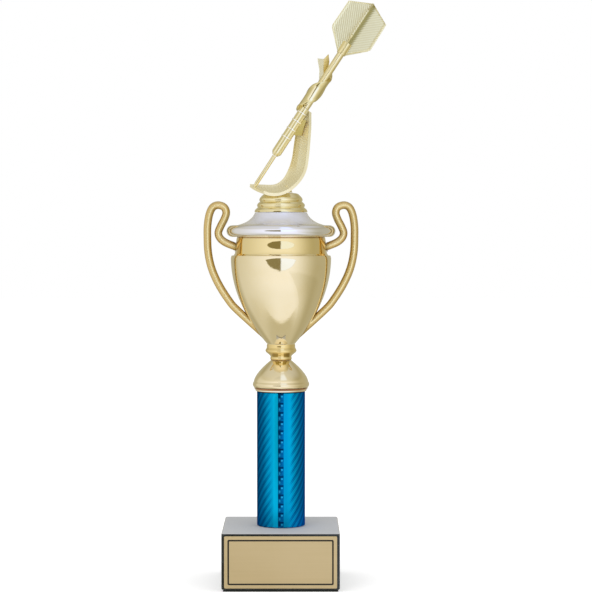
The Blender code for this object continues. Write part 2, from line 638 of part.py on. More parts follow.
def make_figure():
    outside = [(across * FIGURE_FLANGE_RADIUS, figure_bottom + up * FIGURE_BASE_HEIGHT)
               for across, up in FIGURE_RINGS]
    hollow_top = figure_bottom + FIGURE_HOLLOW_DEPTH
    pocket = INSERT_DIAMETER / 2 + GAP
    pocket_top = insert_top + GAP
    turned("figure_base", outside + [
        (FIGURE_HOLLOW_RADIUS, figure_bottom), (FIGURE_HOLLOW_RADIUS, hollow_top),
        (pocket, hollow_top), (pocket, pocket_top), (0, pocket_top), (0, figure_top)], PALE_GOLD)
    insert = INSERT_DIAMETER / 2
    turned("figure_insert", bored([(insert, insert_top), (insert, insert_bottom)], rod_hole), BRASS)

    lean = bpy.data.objects.new("dart_axis", None)
    bpy.context.collection.objects.link(lean)
    lean.location = (-POINT_LEFT, 0, figure_top + POINT_UP)
    lean.rotation_euler = (0, DART_LEAN, 0)
    bpy.context.view_layer.update()

    barrel_start = NEEDLE_LENGTH + NOSE_LENGTH
    barrel_end = barrel_start + BARREL_LENGTH
    shaft_start = barrel_end + GAP
    shaft_end = shaft_start + SHAFT_LENGTH
    needle = NEEDLE_DIAMETER / 2
    barrel = BARREL_DIAMETER / 2
    shaft = SHAFT_DIAMETER / 2

    keep_off = cutter(loft("sweep_room", ribbon_sections(GAP), PALE_GOLD))
    point = turned("dart_needle", [
        (0, NEEDLE_LENGTH), (needle, NEEDLE_LENGTH), (needle, NEEDLE_TAPER - NEEDLE_SINK),
        (needle / 2, -NEEDLE_SINK), (0, -NEEDLE_SINK)], PALE_GOLD, SMALL_STEPS, lean)
    cut(point, keep_off)

    outline = [(0, barrel_end), (barrel, barrel_end)]
    for i in range(BARREL_RINGS):
        top = barrel_end - BARREL_TOP_BAND - i * BARREL_RING_PITCH
        bottom = top - BARREL_RING_WIDTH
        outline += [(barrel, top + BARREL_RING), (barrel + BARREL_RING, top),
                    (barrel + BARREL_RING, bottom), (barrel, bottom - BARREL_RING)]
    nose = NEEDLE_LENGTH + GAP
    outline += [(barrel, barrel_start), (needle, nose), (0, nose)]
    turned("dart_barrel", outline, PALE_GOLD, SMALL_STEPS, lean)
    turned("dart_shaft", [(0, shaft_end), (shaft, shaft_end), (shaft, shaft_start),
                          (0, shaft_start)], PALE_GOLD, SMALL_STEPS, lean)

    sleeve_start = shaft_end - FLIGHT_LAP
    half = FLIGHT_SPAN / 2
    corner_in, corner_down = FIN_CORNER
    fin = [(FIN_ROOT, 0), (half - corner_in, FIN_WIDE - corner_down), (half, FIN_WIDE),
           (half - FIN_TAPER, FIN_SHOULDER), (0, FLIGHT_LENGTH)]
    outline = fin + [(-x, z) for x, z in reversed(fin[:-1])]
    outline = [(x, sleeve_start + z) for x, z in outline]
    thin = FLIGHT_THICKNESS / 2
    flight = prism("dart_flight", outline, -thin, thin, PALE_GOLD, lean, "Y")
    crossing = prism("flight_crossing", outline, -thin, thin, PALE_GOLD, lean, "Y")
    crossing.rotation_euler = (0, 0, math.pi / 2)
    join(flight, crossing)
    collar = FLIGHT_SLEEVE_DIAMETER / 2
    sleeve_end = sleeve_start + FLIGHT_SLEEVE_LENGTH
    join(flight, turned("flight_sleeve", [(0, sleeve_end), (collar, sleeve_end),
                                          (collar, sleeve_start), (0, sleeve_start)],
                        PALE_GOLD, SMALL_STEPS, lean))
    room = shaft + GAP
    cut(flight, cutter(turned("shaft_socket", [
        (0, shaft_end + GAP), (room, shaft_end + GAP), (room, sleeve_start - GAP),
        (0, sleeve_start - GAP)], PALE_GOLD, SMALL_STEPS, lean)))

    wide = barrel + BARREL_RING + GAP
    dart_room = cutter(turned("dart_room", [
        (0, shaft_end), (room, shaft_end), (room, shaft_start), (wide, shaft_start),
        (wide, barrel_start), (0, nose)], PALE_GOLD, SMALL_STEPS, lean))
    sweep = loft("ribbon_sweep", ribbon_sections(0), PALE_GOLD)
    cut(sweep, dart_room)

    sections = []
    for degrees, near, far, outer in WRAP:
        angle = math.radians(degrees)
        out = Vector((math.cos(angle), math.sin(angle), 0))
        up = Vector((0, 0, 1))
        taper = WRAP_TAPER * (outer - shaft)
        sections.append([shaft * out + near * up, outer * out + (near + taper) * up,
                         outer * out + (far - taper) * up, shaft * out + far * up])
    wrap = loft("ribbon_wrap", sections, PALE_GOLD, lean)
    cut(wrap, dart_room)

    half = WEB_THICKNESS / 2
    web = prism("dart_web", [(x, figure_top + z) for x, z in WEB], -half, half, PALE_GOLD, axis="Y")
    cut(web, dart_room)
    cut(web, keep_off)

    behind = shaft + GAP
    prism("ribbon_tail", [(x, figure_top + z) for x, z in TAIL], behind,
          behind + TAIL_THICKNESS, PALE_GOLD, axis="Y")

    stem = POST_DIAMETER / 2
    post = turned("ribbon_post", [(0, POST_HEIGHT), (stem, POST_HEIGHT), (stem, GAP), (0, GAP)],
                  PALE_GOLD, SMALL_STEPS)
    post.location = (*POST_PLACE, figure_top)
    cut(post, cutter(loft("post_room", ribbon_sections(GAP, POST_DIAMETER), PALE_GOLD)))

    base_room = cutter(turned("base_room", [(0, figure_top + GAP)] + [
        (radius + GAP, height + GAP) for radius, height in outside[:4]] + [
        (0, outside[3][1])], PALE_GOLD))
    cut(sweep, base_room)


clear_scene()
make_base()
make_hardware()
make_column()
make_handles(*make_cup())
make_lid()
make_figure()
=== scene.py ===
# %% [markdown]
# # A column trophy with a turning dart figure
# A marble base carries a foil-covered column, a two-handled cup with a lid, and a figure that turns
# on the lid: a dart held by a sweeping ribbon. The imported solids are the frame. Every piece below
# is measured from them, so the finer meshes land where the solids are.

# %% Load the frame
import math

import bmesh
import bpy
from mathutils import Matrix, Vector
from mathutils.geometry import interpolate_bezier


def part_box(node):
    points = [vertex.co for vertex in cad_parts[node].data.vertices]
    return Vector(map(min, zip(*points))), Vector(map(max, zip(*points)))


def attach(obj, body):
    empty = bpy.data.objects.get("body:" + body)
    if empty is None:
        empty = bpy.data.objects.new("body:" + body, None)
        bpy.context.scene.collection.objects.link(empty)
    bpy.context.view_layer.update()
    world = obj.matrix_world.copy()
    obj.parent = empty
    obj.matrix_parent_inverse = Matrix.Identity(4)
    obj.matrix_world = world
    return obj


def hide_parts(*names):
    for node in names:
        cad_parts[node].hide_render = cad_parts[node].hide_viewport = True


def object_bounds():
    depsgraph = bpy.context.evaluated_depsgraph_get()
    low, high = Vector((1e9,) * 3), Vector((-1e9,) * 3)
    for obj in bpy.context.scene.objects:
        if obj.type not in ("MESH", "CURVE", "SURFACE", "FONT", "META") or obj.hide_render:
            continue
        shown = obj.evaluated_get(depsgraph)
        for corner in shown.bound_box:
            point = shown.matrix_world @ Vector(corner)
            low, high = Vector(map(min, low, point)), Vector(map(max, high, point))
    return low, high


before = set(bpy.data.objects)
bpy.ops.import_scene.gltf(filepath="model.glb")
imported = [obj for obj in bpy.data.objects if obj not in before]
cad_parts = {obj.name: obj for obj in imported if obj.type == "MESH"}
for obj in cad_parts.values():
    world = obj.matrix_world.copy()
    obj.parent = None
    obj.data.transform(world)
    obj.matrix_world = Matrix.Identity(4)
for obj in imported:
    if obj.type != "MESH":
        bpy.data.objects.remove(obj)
cad_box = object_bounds()
MM = 0.001
TROPHY_HEIGHT = cad_box[1][2]

# %% [markdown]
# ## Shader maths as Python
# A node tree can be wired by hand, socket by socket, but a pattern is easier to read as a formula.
# `Wire` wraps one output socket: an expression on wires adds the Math nodes that work it out, and
# `add` makes any other node from its type, its settings and what goes into its sockets.

# %% A socket that does arithmetic
class Wire:
    """One output socket of a node tree, or the bare tree before its first node."""

    def __init__(self, tree, socket=None):
        self.tree = tree
        self.socket = socket

    def add(self, kind, settings=None, inputs=None, out=0):
        node = self.tree.nodes.new(kind)
        for name, value in (settings or {}).items():
            setattr(node, name, value)
        for name, value in (inputs or {}).items():
            if isinstance(value, Wire):
                self.tree.links.new(value.socket, node.inputs[name])
            else:
                node.inputs[name].default_value = value
        return Wire(self.tree, node.outputs[out])

    def math(self, operation, *others):
        """A Math node on this wire, and on further wires or numbers where it takes them."""
        return self.add("ShaderNodeMath", {"operation": operation},
                        dict(enumerate((self, *others))))

    def __add__(self, other):
        return self.math("ADD", other)

    def __sub__(self, other):
        return self.math("SUBTRACT", other)

    def __mul__(self, other):
        return self.math("MULTIPLY", other)

    def __truediv__(self, other):
        return self.math("DIVIDE", other)

    def __pow__(self, other):
        return self.math("POWER", other)

    def __abs__(self):
        return self.math("ABSOLUTE")

    def __rsub__(self, other):
        return self.add("ShaderNodeMath", {"operation": "SUBTRACT"}, {0: other, 1: self})

    __radd__ = __add__
    __rmul__ = __mul__

    def smooth_step(self, low, high):
        """0 below one value, 1 above another, and a soft slope between them."""
        return self.add("ShaderNodeMapRange", {"interpolation_type": "SMOOTHSTEP"},
                        {"Value": self, "From Min": low, "From Max": high})

    def mix(self, low, high):
        """Between two colours: wires, 8-bit triples, or linear ones that carry an alpha."""
        low, high = [(*colour(*c), 1) if isinstance(c, tuple) and len(c) == 3 else c
                     for c in (low, high)]
        return self.add("ShaderNodeMix", {"data_type": "RGBA"}, {0: self, 6: low, 7: high}, out=2)


def colour(red, green, blue):
    """An 8-bit colour, as one reads it off a picture, in the linear values that shaders take."""
    def linear(value):
        share = value / 255
        return share / 12.92 if share <= 0.04045 else ((share + 0.055) / 1.055) ** 2.4
    return (linear(red), linear(green), linear(blue))


print("mid grey in linear light", [round(v, 3) for v in colour(128, 128, 128)])

# %% [markdown]
# ## A material from a recipe
# Each finish is a function marked `@finish`, which gives a shader. What is the same all over is set
# straight on the shader's socket, and what changes comes in as a wire. Patterns are worked out
# from the place on the piece, so that no piece needs a UV map.

# %% Turn a surface into a material
def parts_of(vector, wanted=(0, 1, 2)):
    """The x, y and z of a vector, each as a wire."""
    return [vector.add("ShaderNodeSeparateXYZ", None, {0: vector}, out=i) for i in wanted]


def noise(spot, scale, detail=3.0, rough=0.5):
    return spot.add("ShaderNodeTexNoise", None, {
        "Vector": spot, "Scale": scale, "Detail": detail, "Roughness": rough})


def bump(height, distance):
    """A normal that follows a height from 0 to 1, which stands for this many metres."""
    return height.add("ShaderNodeBump", None, {"Height": height, "Distance": distance})


def shade(tree, **sockets):
    inputs = {name.replace("_", " "): (*value, 1) if isinstance(value, tuple) else value
              for name, value in sockets.items()}
    return tree.add("ShaderNodeBsdfPrincipled", None, inputs)


def close(tree, surface, kind="ShaderNodeOutputMaterial"):
    node = tree.tree.nodes.new(kind)
    tree.tree.links.new(surface.socket, node.inputs["Surface"])


def finish(surface):
    """Make materials by a function of the place on the piece, in metres, that gives a shader."""
    def make(name, *values, **named):
        made = bpy.data.materials.new(name)
        made.use_nodes = True
        made.node_tree.nodes.clear()
        spot = Wire(made.node_tree).add("ShaderNodeTexCoord", out=3)
        close(spot, surface(spot, *parts_of(spot), *values, **named))
        return made
    return make


# %% Two patterns that many finishes share
def stripes(along, pitch):
    """A soft wave from 0 to 1 that repeats at a pitch."""
    return (along * (math.tau / pitch)).math("SINE") * 0.5 + 0.5


def belt(value, low, high, soft):
    """1 between two values, with soft ends."""
    rising = value.smooth_step(low - soft, low + soft)
    return rising * (1 - value.smooth_step(high - soft, high + soft))


# %% [markdown]
# ## Gold, silver and copper plate
# Award cups are moulded in plastic, metallised in a vacuum and lacquered with a tinted coat. That
# gives a mirror with a faint orange peel and a slightly hazy, handled surface. A metal shader under
# a clear coat does it, with large soft noise in the roughness and a very shallow bump. The lacquer
# is thicker where it runs together, which the deep tint gives in soft random patches. A finish also
# takes a row of further tints, which are mostly painted shade, painted highlights and painted
# reflections. Each comes with a mask, which is a function of the place that gives 1 where the tint
# shows.

# %% Plated plastic
@finish
def plated(spot, x, y, z, tint, deep, gloss=0.07, haze=0.05, peel=0.00002, coat=1.0,
           satin=None, veil=0.03, rich=()):
    """Metallised plastic: a tint, the tint where the lacquer lies thicker, and how sharp it is.

    `satin` gives a height above which the plate is softer, how much rougher it is there and how
    much less of it is metal. `veil` is how soft the lacquer itself is. `rich` is the row of further
    tints and their masks.
    """
    metal = 1.0
    if satin:
        height, rougher, less_metal = satin
        soft = z.smooth_step(height - 0.5 * MM, height + 1.5 * MM)
        gloss = gloss + soft * rougher
        metal = 1 - soft * less_metal
    deeper_share = noise(spot, 38.0, 4.0).smooth_step(0.42, 0.75)
    touched = noise(spot, 130.0, 5.0, 0.6).smooth_step(0.35, 0.8)
    face = deeper_share.mix(tint, deep)
    for shown, mask in rich:
        face = mask(x, z).mix(face, shown)
    return shade(spot, Base_Color=face, Metallic=metal, Roughness=gloss + touched * haze,
                 Coat_Weight=coat, Coat_Roughness=veil,
                 Normal=bump(noise(spot, 420.0, 1.0), peel))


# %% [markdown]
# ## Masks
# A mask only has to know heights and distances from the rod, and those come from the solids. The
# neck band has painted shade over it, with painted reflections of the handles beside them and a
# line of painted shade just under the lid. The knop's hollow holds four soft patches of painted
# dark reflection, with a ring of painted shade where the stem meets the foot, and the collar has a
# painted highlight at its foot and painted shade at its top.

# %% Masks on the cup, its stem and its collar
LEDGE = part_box("cup_bowl")[1].z - 3.7 * MM
BAND_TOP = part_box("cup_neck")[1].z
LID_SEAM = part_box("lid")[1].z - 8.6 * MM
COLLAR_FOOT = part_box("column_collar")[0].z
STEM_FOOT, STEM_TOP = [corner.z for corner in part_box("stem_knop")]


def above(low, high):
    """A mask that grows from 0 to 1 between two heights."""
    return lambda x, z: z.smooth_step(low, high)


def ring(low, high, soft):
    """A mask that is 1 between two heights, all round the piece."""
    return lambda x, z: belt(z, low, high, soft)


# The neck band above the ledge, which takes painted shade, and the lid's flare above its seam.
on_band = above(LEDGE - 0.1 * MM, LEDGE + 0.1 * MM)
on_flare = above(LID_SEAM - 0.4 * MM, LID_SEAM)


def handle_reflections(x, z):
    """Painted reflections of the handles: two upright strips of the neck band at each handle's
    upper end.
    """
    return belt(abs(x), 25.1 * MM, 28.7 * MM, 0.4 * MM) * on_band(x, z)


# Painted dark reflections: four soft patches in the knop's hollow.
def hollow_reflections(x, z):
    rise = STEM_TOP - STEM_FOOT
    hollow = belt(z, STEM_FOOT + 0.2 * rise, STEM_FOOT + 0.46 * rise, 0.5 * MM)
    return hollow * belt(abs(x), 1.8 * MM, 5.7 * MM, 0.4 * MM)


print("ledge", round(LEDGE, 4), "lid seam", round(LID_SEAM, 4))

# %% Plate the cup, its stem, its lid and its collar
# The cup: painted shade over the neck band, painted reflections of the handles on it and a line of
# painted shade just under the lid.
CUP_GOLD = plated("cup_gold", (245, 231, 194), (241, 225, 183), gloss=0.05, haze=0.03, rich=(
    ((240, 220, 162), on_band), ((238, 194, 78), handle_reflections),
    ((176, 134, 56), above(BAND_TOP - 0.9 * MM, BAND_TOP - 0.3 * MM))))
# The stem: painted dark reflections in the knop's hollow and a ring of painted shade where it meets
# the foot.
STEM_GOLD = plated("stem_gold", (244, 221, 158), (236, 206, 128), gloss=0.05, rich=(
    ((158, 130, 34), hollow_reflections),
    ((196, 150, 60), ring(STEM_FOOT - 0.2 * MM, STEM_FOOT + 0.7 * MM, 0.4 * MM))))
LID_SILVER = plated("lid_silver", (229, 230, 242), (225, 226, 239), gloss=0.05, haze=0.02,
                    satin=(LID_SEAM, 0.36, 0.5),
                    rich=(((240, 240, 249), lambda x, z: 1 - on_flare(x, z)),))
# The collar: a painted highlight along its foot and painted shade at its top, under the cup's foot.
COLLAR_COPPER = plated("collar_copper", (226, 184, 140), (214, 168, 122), rich=(
    ((255, 250, 232), ring(COLLAR_FOOT + 0.4 * MM, COLLAR_FOOT + 1.1 * MM, 0.2 * MM)),
    ((176, 120, 84), above(COLLAR_FOOT + 1.5 * MM, COLLAR_FOOT + 2.0 * MM))))
STEEL = plated("zinc_steel", (198, 200, 204), (178, 180, 186), gloss=0.3, haze=0.2, coat=0.0)
BRASS = plated("insert_brass", (214, 178, 104), (196, 158, 86), gloss=0.3, coat=0.0)
print("plate on the cup:", CUP_GOLD.name, STEM_GOLD.name, LID_SILVER.name, COLLAR_COPPER.name)

# %% [markdown]
# ## The handles' satin gold
# A handle is a round bar, so which way a point on it faces says more than where it lies. The bar
# has a painted highlight along its front, painted shade where it faces the cup or the ground, and
# its darkest painted shade where it meets the neck band.

# %% Handle gold
@finish
def satin_bar(spot, x, y, z):
    across, upward = parts_of(spot.add("ShaderNodeNewGeometry", out=1), (0, 2))
    # Painted shade on the side that faces the cup or the ground.
    inward = 0 - x.math("SIGN") * across * 0.8 - upward * 0.5
    face = inward.smooth_step(0.1, 0.5).mix((222, 194, 130), (200, 172, 100))
    # A painted highlight where the bar faces straight out to the front or the back.
    front = 1 - (across ** 2 + upward ** 2).smooth_step(0.0, 0.08)
    face = front.mix(face, (255, 236, 176))
    # Painted shade where the bar meets the neck band.
    end = 1 - abs(x).smooth_step(29 * MM, 33 * MM)
    end = end * z.smooth_step(LEDGE - 4 * MM, LEDGE)
    face = (end * 0.8).mix(face, (160, 132, 52))
    return shade(spot, Base_Color=face, Metallic=1.0, Coat_Weight=0.4, Coat_Roughness=0.4,
                 Roughness=0.36 + noise(spot, 40.0, 2.0) * 0.06)


HANDLE_GOLD = satin_bar("handle_gold")
print("bar finish:", HANDLE_GOLD.name)

# %% [markdown]
# ## The figure's gold
# The figure is paler and softer than the cup. Its masks follow the leaning dart, so `by_dart` turns
# a place into a distance beside the dart's axis and a distance along it. A painted highlight lies
# on the front of the wrap and the rest of the wrap is painted duller, and the sweep of the ribbon
# has painted shade along its back half and a painted highlight along its front half.

# %% Masks on the figure
FIGURE_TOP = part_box("figure_base")[1].z
LEAN_ANGLE = math.radians(33.1)
AXIS_X, AXIS_Z = -16.8 * MM, FIGURE_TOP + 5.3 * MM
SWEEP_LEAN = 0.14


def by_dart(x, z):
    """How far beside the leaning dart's axis a point is, and how far along it."""
    out, rise = x - AXIS_X, z - AXIS_Z
    return (out * math.cos(LEAN_ANGLE) - rise * math.sin(LEAN_ANGLE),
            out * math.sin(LEAN_ANGLE) + rise * math.cos(LEAN_ANGLE))


# A painted highlight down the front of the wrap.
def wrap_painted_highlight(x, z):
    beside, along = by_dart(x, z)
    return belt(beside, -2.3 * MM, 0.9 * MM, 0.5 * MM) * belt(along, 66 * MM, 76 * MM, 1 * MM)


def sweep_painted_halves(x, z):
    """The front half of the sweep, with a painted highlight, and the back half, with painted shade,
    where the ribbon stands upright.
    """
    rise = z - FIGURE_TOP
    upright = rise.smooth_step(12 * MM, 20 * MM)
    front = (x - rise * SWEEP_LEAN).smooth_step(7.0 * MM, 8.6 * MM)
    return upright * front, upright * (1 - front)


print("the dart leans", round(math.degrees(LEAN_ANGLE), 1), "degrees")

# %% Plate the figure
FIGURE_PLATE = {"tint": (245, 232, 184), "deep": (240, 223, 162), "gloss": 0.12, "haze": 0.06,
                "coat": 0.6, "veil": 0.1}
FIGURE_GOLD = plated("figure_gold", **FIGURE_PLATE)
# The wrap: a painted highlight on its front, with the rest of it painted duller.
WRAP_GOLD = plated("wrap_gold", **FIGURE_PLATE, rich=(
    ((228, 214, 158), lambda x, z: 1 - wrap_painted_highlight(x, z)), ((246, 235, 196), wrap_painted_highlight)))
RIDGED_GOLD = plated("ridged_gold", (246, 234, 190), (240, 224, 168), gloss=0.2, haze=0.08,
                     coat=0.3, peel=0.000004, veil=0.2)
WEB_GOLD = plated("web_gold", (226, 204, 120), (214, 188, 96), gloss=0.3, coat=0.2, veil=0.3)
# The sweep: a painted highlight on its front half and painted shade on its back half.
SWEEP_GOLD = plated("sweep_gold", (253, 244, 208), (250, 238, 190), gloss=0.3, haze=0.04,
                    coat=0.3, peel=0.000004, veil=0.2, satin=(0.0, 0.0, 0.35), rich=(
                        ((255, 248, 214), lambda x, z: sweep_painted_halves(x, z)[0]),
                        ((239, 224, 172), lambda x, z: sweep_painted_halves(x, z)[1])))
print("plate on the figure:", FIGURE_GOLD.name, WRAP_GOLD.name, WEB_GOLD.name, SWEEP_GOLD.name)

# %% [markdown]
# ## Ribs and grooves in a finish
# The fins carry ribs about a millimetre apart, which a bump gives more cheaply than a mesh, and the
# ribs are painted lighter than the painted shade between them. The barrel has grooves along it with
# painted shade in them, crossed by four rings that the mesh raises later and that carry a painted
# highlight. Painted shade lies along a fin's root, where the fins meet.

# %% Fins and barrel
BARREL_END = 60.1 * MM
RING_TOPS = [BARREL_END - (3.3 + 6.3 * i) * MM for i in range(4)]
RING_WIDTH = 1.1 * MM
GROOVE_PITCH = 1.9 * MM


@finish
def ribbed(spot, x, y, z, turn, pitch, root=0.0, depth=0.000022):
    """The figure's gold with ribs square to a direction, painted lighter on the ribs and in shade
    between them, and how strong the painted shade along the root is.
    """
    rib = stripes(x * math.cos(turn) + z * math.sin(turn), pitch)
    worn = noise(spot, 130.0, 5.0, 0.6)
    # Painted light and shade along the ribs, mixed with random tone.
    face = (rib * 0.7 + worn * 0.3).smooth_step(0.1, 0.8).mix(
        (230, 219, 170), (246, 239, 200))
    # Painted shade along the root, where the fins meet, with an edge toothed by the ribs.
    beside, _ = by_dart(x, z)
    deeper_share = 1 - (beside + rib * 0.9 * MM).smooth_step(2.2 * MM, 4.6 * MM)
    return shade(spot, Base_Color=(deeper_share * root).mix(face, (146, 134, 62)), Metallic=1.0,
                 Roughness=0.27 + worn * 0.08, Coat_Weight=0.3, Coat_Roughness=0.2,
                 Normal=bump(rib, depth))


@finish
def grooved(spot, x, y, z):
    """Gold with grooves along the leaning dart, painted shade in the grooves, crossed by rings with
    a painted highlight.
    """
    beside, along = by_dart(x, z)
    rib = stripes(beside, GROOVE_PITCH)
    # Painted shade in the grooves, mixed with random tone.
    face = (rib * 0.6 + noise(spot, 900.0, 2.0) * 0.4).smooth_step(0.15, 0.75).mix(
        (222, 206, 144), (248, 239, 200))
    # A painted highlight on each ring.
    for top in RING_TOPS:
        bright = belt(along, top - RING_WIDTH * 0.8, top - RING_WIDTH * 0.2, 0.2 * MM)
        face = bright.mix(face, (255, 253, 244))
    return shade(spot, Base_Color=face, Metallic=0.8, Roughness=0.24, Coat_Weight=0.3,
                 Coat_Roughness=0.2, Normal=bump(rib, 0.00002))


BARREL_GOLD = grooved("barrel_gold")
RIBS_UPRIGHT = ribbed("ribs_upright", math.radians(8), 1.3 * MM)
RIBS_LEVEL = ribbed("ribs_level", math.radians(84), 1.15 * MM, root=0.85, depth=0.00001)
print("ribbed finishes:", RIBS_UPRIGHT.name, RIBS_LEVEL.name, BARREL_GOLD.name)

# %% [markdown]
# ## Woven foil on the column
# The column is a plastic tube under a metallic foil stamped with a twill. Its little steps catch
# the light in diagonal rows. A row of dark squares with a glint in each runs down the front: a
# painted reflection of a dark shape in front of the column, with painted highlights. The twill is
# worked out on the unrolled tube, from the distance round it and the height, so that the rows stay
# the same size all the way round. Painted light: the foil is a little darker just right of the row
# of squares, brighter further right and brightest in a band to its left, and that fades away
# behind. A lit and a shaded copy of the foil are mixed by how much a point faces the view, which
# paints shade towards its edges.

# %% Foil
COLUMN_LOW, COLUMN_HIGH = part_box("column_tube")
COLUMN_RADIUS = COLUMN_HIGH.x
CELL = 6.0 * MM
TWILL_SLOPE = 1.3
DOT_PITCH, DOT_SLOPE = 1.45 * MM, 0.8
STRIP_HALF = 1.95 * MM


def dot(u, v, centre, size):
    """1 inside a soft-edged ellipse on the strip's own (across, along) shares."""
    far = ((u - centre[0]) / size[0]) ** 2 + ((v - centre[1]) / size[1]) ** 2
    return 1 - far.smooth_step(0.5, 1.5)


def front_strip(round_it, z, grain):
    """A painted reflection of a dark shape down the front, drawn as a row of dark squares, with a
    painted highlight in each.
    """
    u = round_it / (2 * STRIP_HALF) + 0.5
    v = (z / CELL).math("FRACT")
    bar = v.smooth_step(0.78, 0.82) * (1 - v.smooth_step(0.97, 1.0))
    tooth = v.smooth_step(0.46, 0.52) * (1 - u.smooth_step(0.42, 0.5))
    dark_reflection = bar.math("MAXIMUM", tooth).math("MAXIMUM", grain.smooth_step(0.5, 0.66) * 0.5)
    glint = dot(u, v, (0.68, 0.66), (0.17, 0.1))
    glint = glint.math("MAXIMUM", dot(u, v, (0.3, 0.26), (0.13, 0.14)) * 0.7)
    return glint.mix(dark_reflection.mix((0, 106, 166), (0, 54, 98)), (40, 172, 220))


@finish
def woven(spot, x, y, z):
    round_it = x.math("ARCTAN2", 0 - y) * COLUMN_RADIUS
    grain = noise(spot, 900.0, 2.0)
    rows = stripes(z - round_it * TWILL_SLOPE, CELL)
    dots = stripes(round_it + z * DOT_SLOPE, DOT_PITCH)
    weave = rows * 0.5 + dots * 0.36 + grain * 0.14
    relief = bump(weave, 0.00005)

    # Painted light: a little darker just right of the front, brighter further right and brightest
    # in a band left of it, all fading away behind.
    fore = 1 - round_it.smooth_step(26 * MM, 46 * MM)
    right = round_it.smooth_step(0.0, 2 * MM) * fore
    outer = round_it.smooth_step(3 * MM, 7 * MM) * fore
    # Painted shade: a lit and a shaded copy of the foil, mixed by how much a point faces the view.
    edge = spot.add("ShaderNodeLayerWeight", None, {"Blend": 0.5}, out=1)
    swing = edge.smooth_step(0.03, 0.16)
    bright = (weave * swing + 1 - swing).smooth_step(0.0, 1.0)
    cloth = bright.mix((0, 140, 204), (3, 172, 222))
    cloth = right.mix(cloth, bright.mix((0, 124, 184), (3, 154, 200)))
    cloth = outer.mix(cloth, bright.mix((0, 148, 224), (3, 184, 240)))
    left = belt(round_it, -5.2 * MM, -1.9 * MM, 0.8 * MM)
    cloth = left.mix(cloth, (5, 192, 242))
    # The painted reflection and its painted highlights fill the front strip.
    inside = 1 - abs(round_it).smooth_step(STRIP_HALF * 0.9, STRIP_HALF)
    lit = shade(spot, Base_Color=inside.mix(cloth, front_strip(round_it, z, grain)),
                Metallic=1.0, Roughness=0.36, Specular_Tint=colour(40, 150, 210), Normal=relief)

    step = weave.smooth_step(0.2, 0.8)
    dusk = outer.mix(step.mix((0, 84, 134), (8, 124, 184)),
                     step.mix((0, 100, 174), (9, 144, 236)))
    shadow = shade(spot, Base_Color=dusk, Metallic=1.0, Roughness=0.44,
                   Specular_Tint=colour(20, 90, 150), Normal=relief)
    share = (edge + (0.5 - weave) * swing * (0.12 + outer * 0.24)).smooth_step(0.05, 0.36)
    share = share * (1 - inside)
    return spot.add("ShaderNodeMixShader", None, {0: share, 1: lit, 2: shadow})


FOIL = woven("blue_foil")
print("foil on a column of radius", round(COLUMN_RADIUS, 5))

# %% [markdown]
# ## Stone, plate, rubber, tape and wood
# The base is dark marble: polished sides, and a top that is honed pale. The masks come from the
# height on the block. The plate is satin brass with its rolling lines along it.

# %% The plain finishes
BASE_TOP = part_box("marble_base")[1].z
TOP_SKIN = 0.45 * MM


@finish
def marbled(spot, x, y, z):
    cloud = noise(spot, 55.0, 8.0, 0.6)
    vein = 1 - abs(noise(spot, 26.0, 6.0, 0.7) - 0.5).smooth_step(0.0, 0.012)
    dark = cloud.smooth_step(0.3, 0.75).mix((20, 24, 22), (40, 47, 47))
    dark = (vein * 0.22).mix(dark, (120, 130, 128))
    fine = noise(spot, 700.0, 4.0).smooth_step(0.35, 0.7)
    pale = (fine * 0.5 + cloud * 0.5).mix((193, 195, 198), (201, 202, 205))
    top = z.smooth_step(BASE_TOP - TOP_SKIN, BASE_TOP - TOP_SKIN / 3)
    return shade(spot, Base_Color=top.mix(dark, pale), Roughness=0.13 + top * 0.55,
                 Normal=bump(noise(spot, 300.0, 3.0), 0.00002))


@finish
def plain(spot, x, y, z, low, high, roughness, grain=300.0, relief=0.00005):
    fleck = noise(spot, grain, 4.0)
    return shade(spot, Roughness=roughness, Normal=bump(fleck, relief),
                 Base_Color=fleck.smooth_step(0.3, 0.7).mix(low, high))


@finish
def rolled(spot, x, y, z):
    lines = spot.add("ShaderNodeCombineXYZ", None, {0: x * 12, 1: 0.0, 2: z * 900})
    brushed = noise(lines, 1.0)
    tone = brushed * 0.5 + noise(spot, 30.0, 2.0) * 0.5
    face = tone.smooth_step(0.3, 0.7).mix((199, 177, 130), (203, 181, 135))
    return shade(spot, Base_Color=face, Metallic=0.25, Roughness=0.42,
                 Normal=bump(brushed, 0.000004))


STONE = marbled("dark_marble")
PLATE_BRASS = rolled("plate_brass")
BORDER_INK = plain("border_ink", (12, 7, 2), (18, 11, 3), 0.75)
RUBBER = plain("pad_rubber", (24, 24, 24), (34, 34, 34), 0.85)
TAPE = plain("tape_foam", (226, 226, 222), (238, 238, 236), 0.8, 900.0)
WOOD = plain("plug_wood", (186, 150, 104), (214, 182, 136), 0.7, 220.0, 0.0001)
print("stone", STONE.name, "plate", PLATE_BRASS.name)

# %% [markdown]
# ## What stays as the solids made it
# The marble block, its pad, the tape and the hardware inside have the right shape already. They
# keep their meshes and only get a finish.

# %% Finish the kept solids
KEPT = {"marble_base": STONE, "base_pad": RUBBER, "plate_tape": TAPE, "figure_insert": BRASS,
        "column_bottom_plug": WOOD, "column_top_plug": WOOD}
for name in ("tie_rod", "base_nut", "spring_washer", "base_washer", "lid_washer", "lid_nut"):
    KEPT[name] = STEEL
for level in ("upper", "lower"):
    for side in ("left", "right"):
        KEPT[f"handle_screw_{level}_{side}"] = STEEL
for name, worn in KEPT.items():
    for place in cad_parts[name].material_slots:
        place.material = worn
print("kept solids:", len(KEPT))

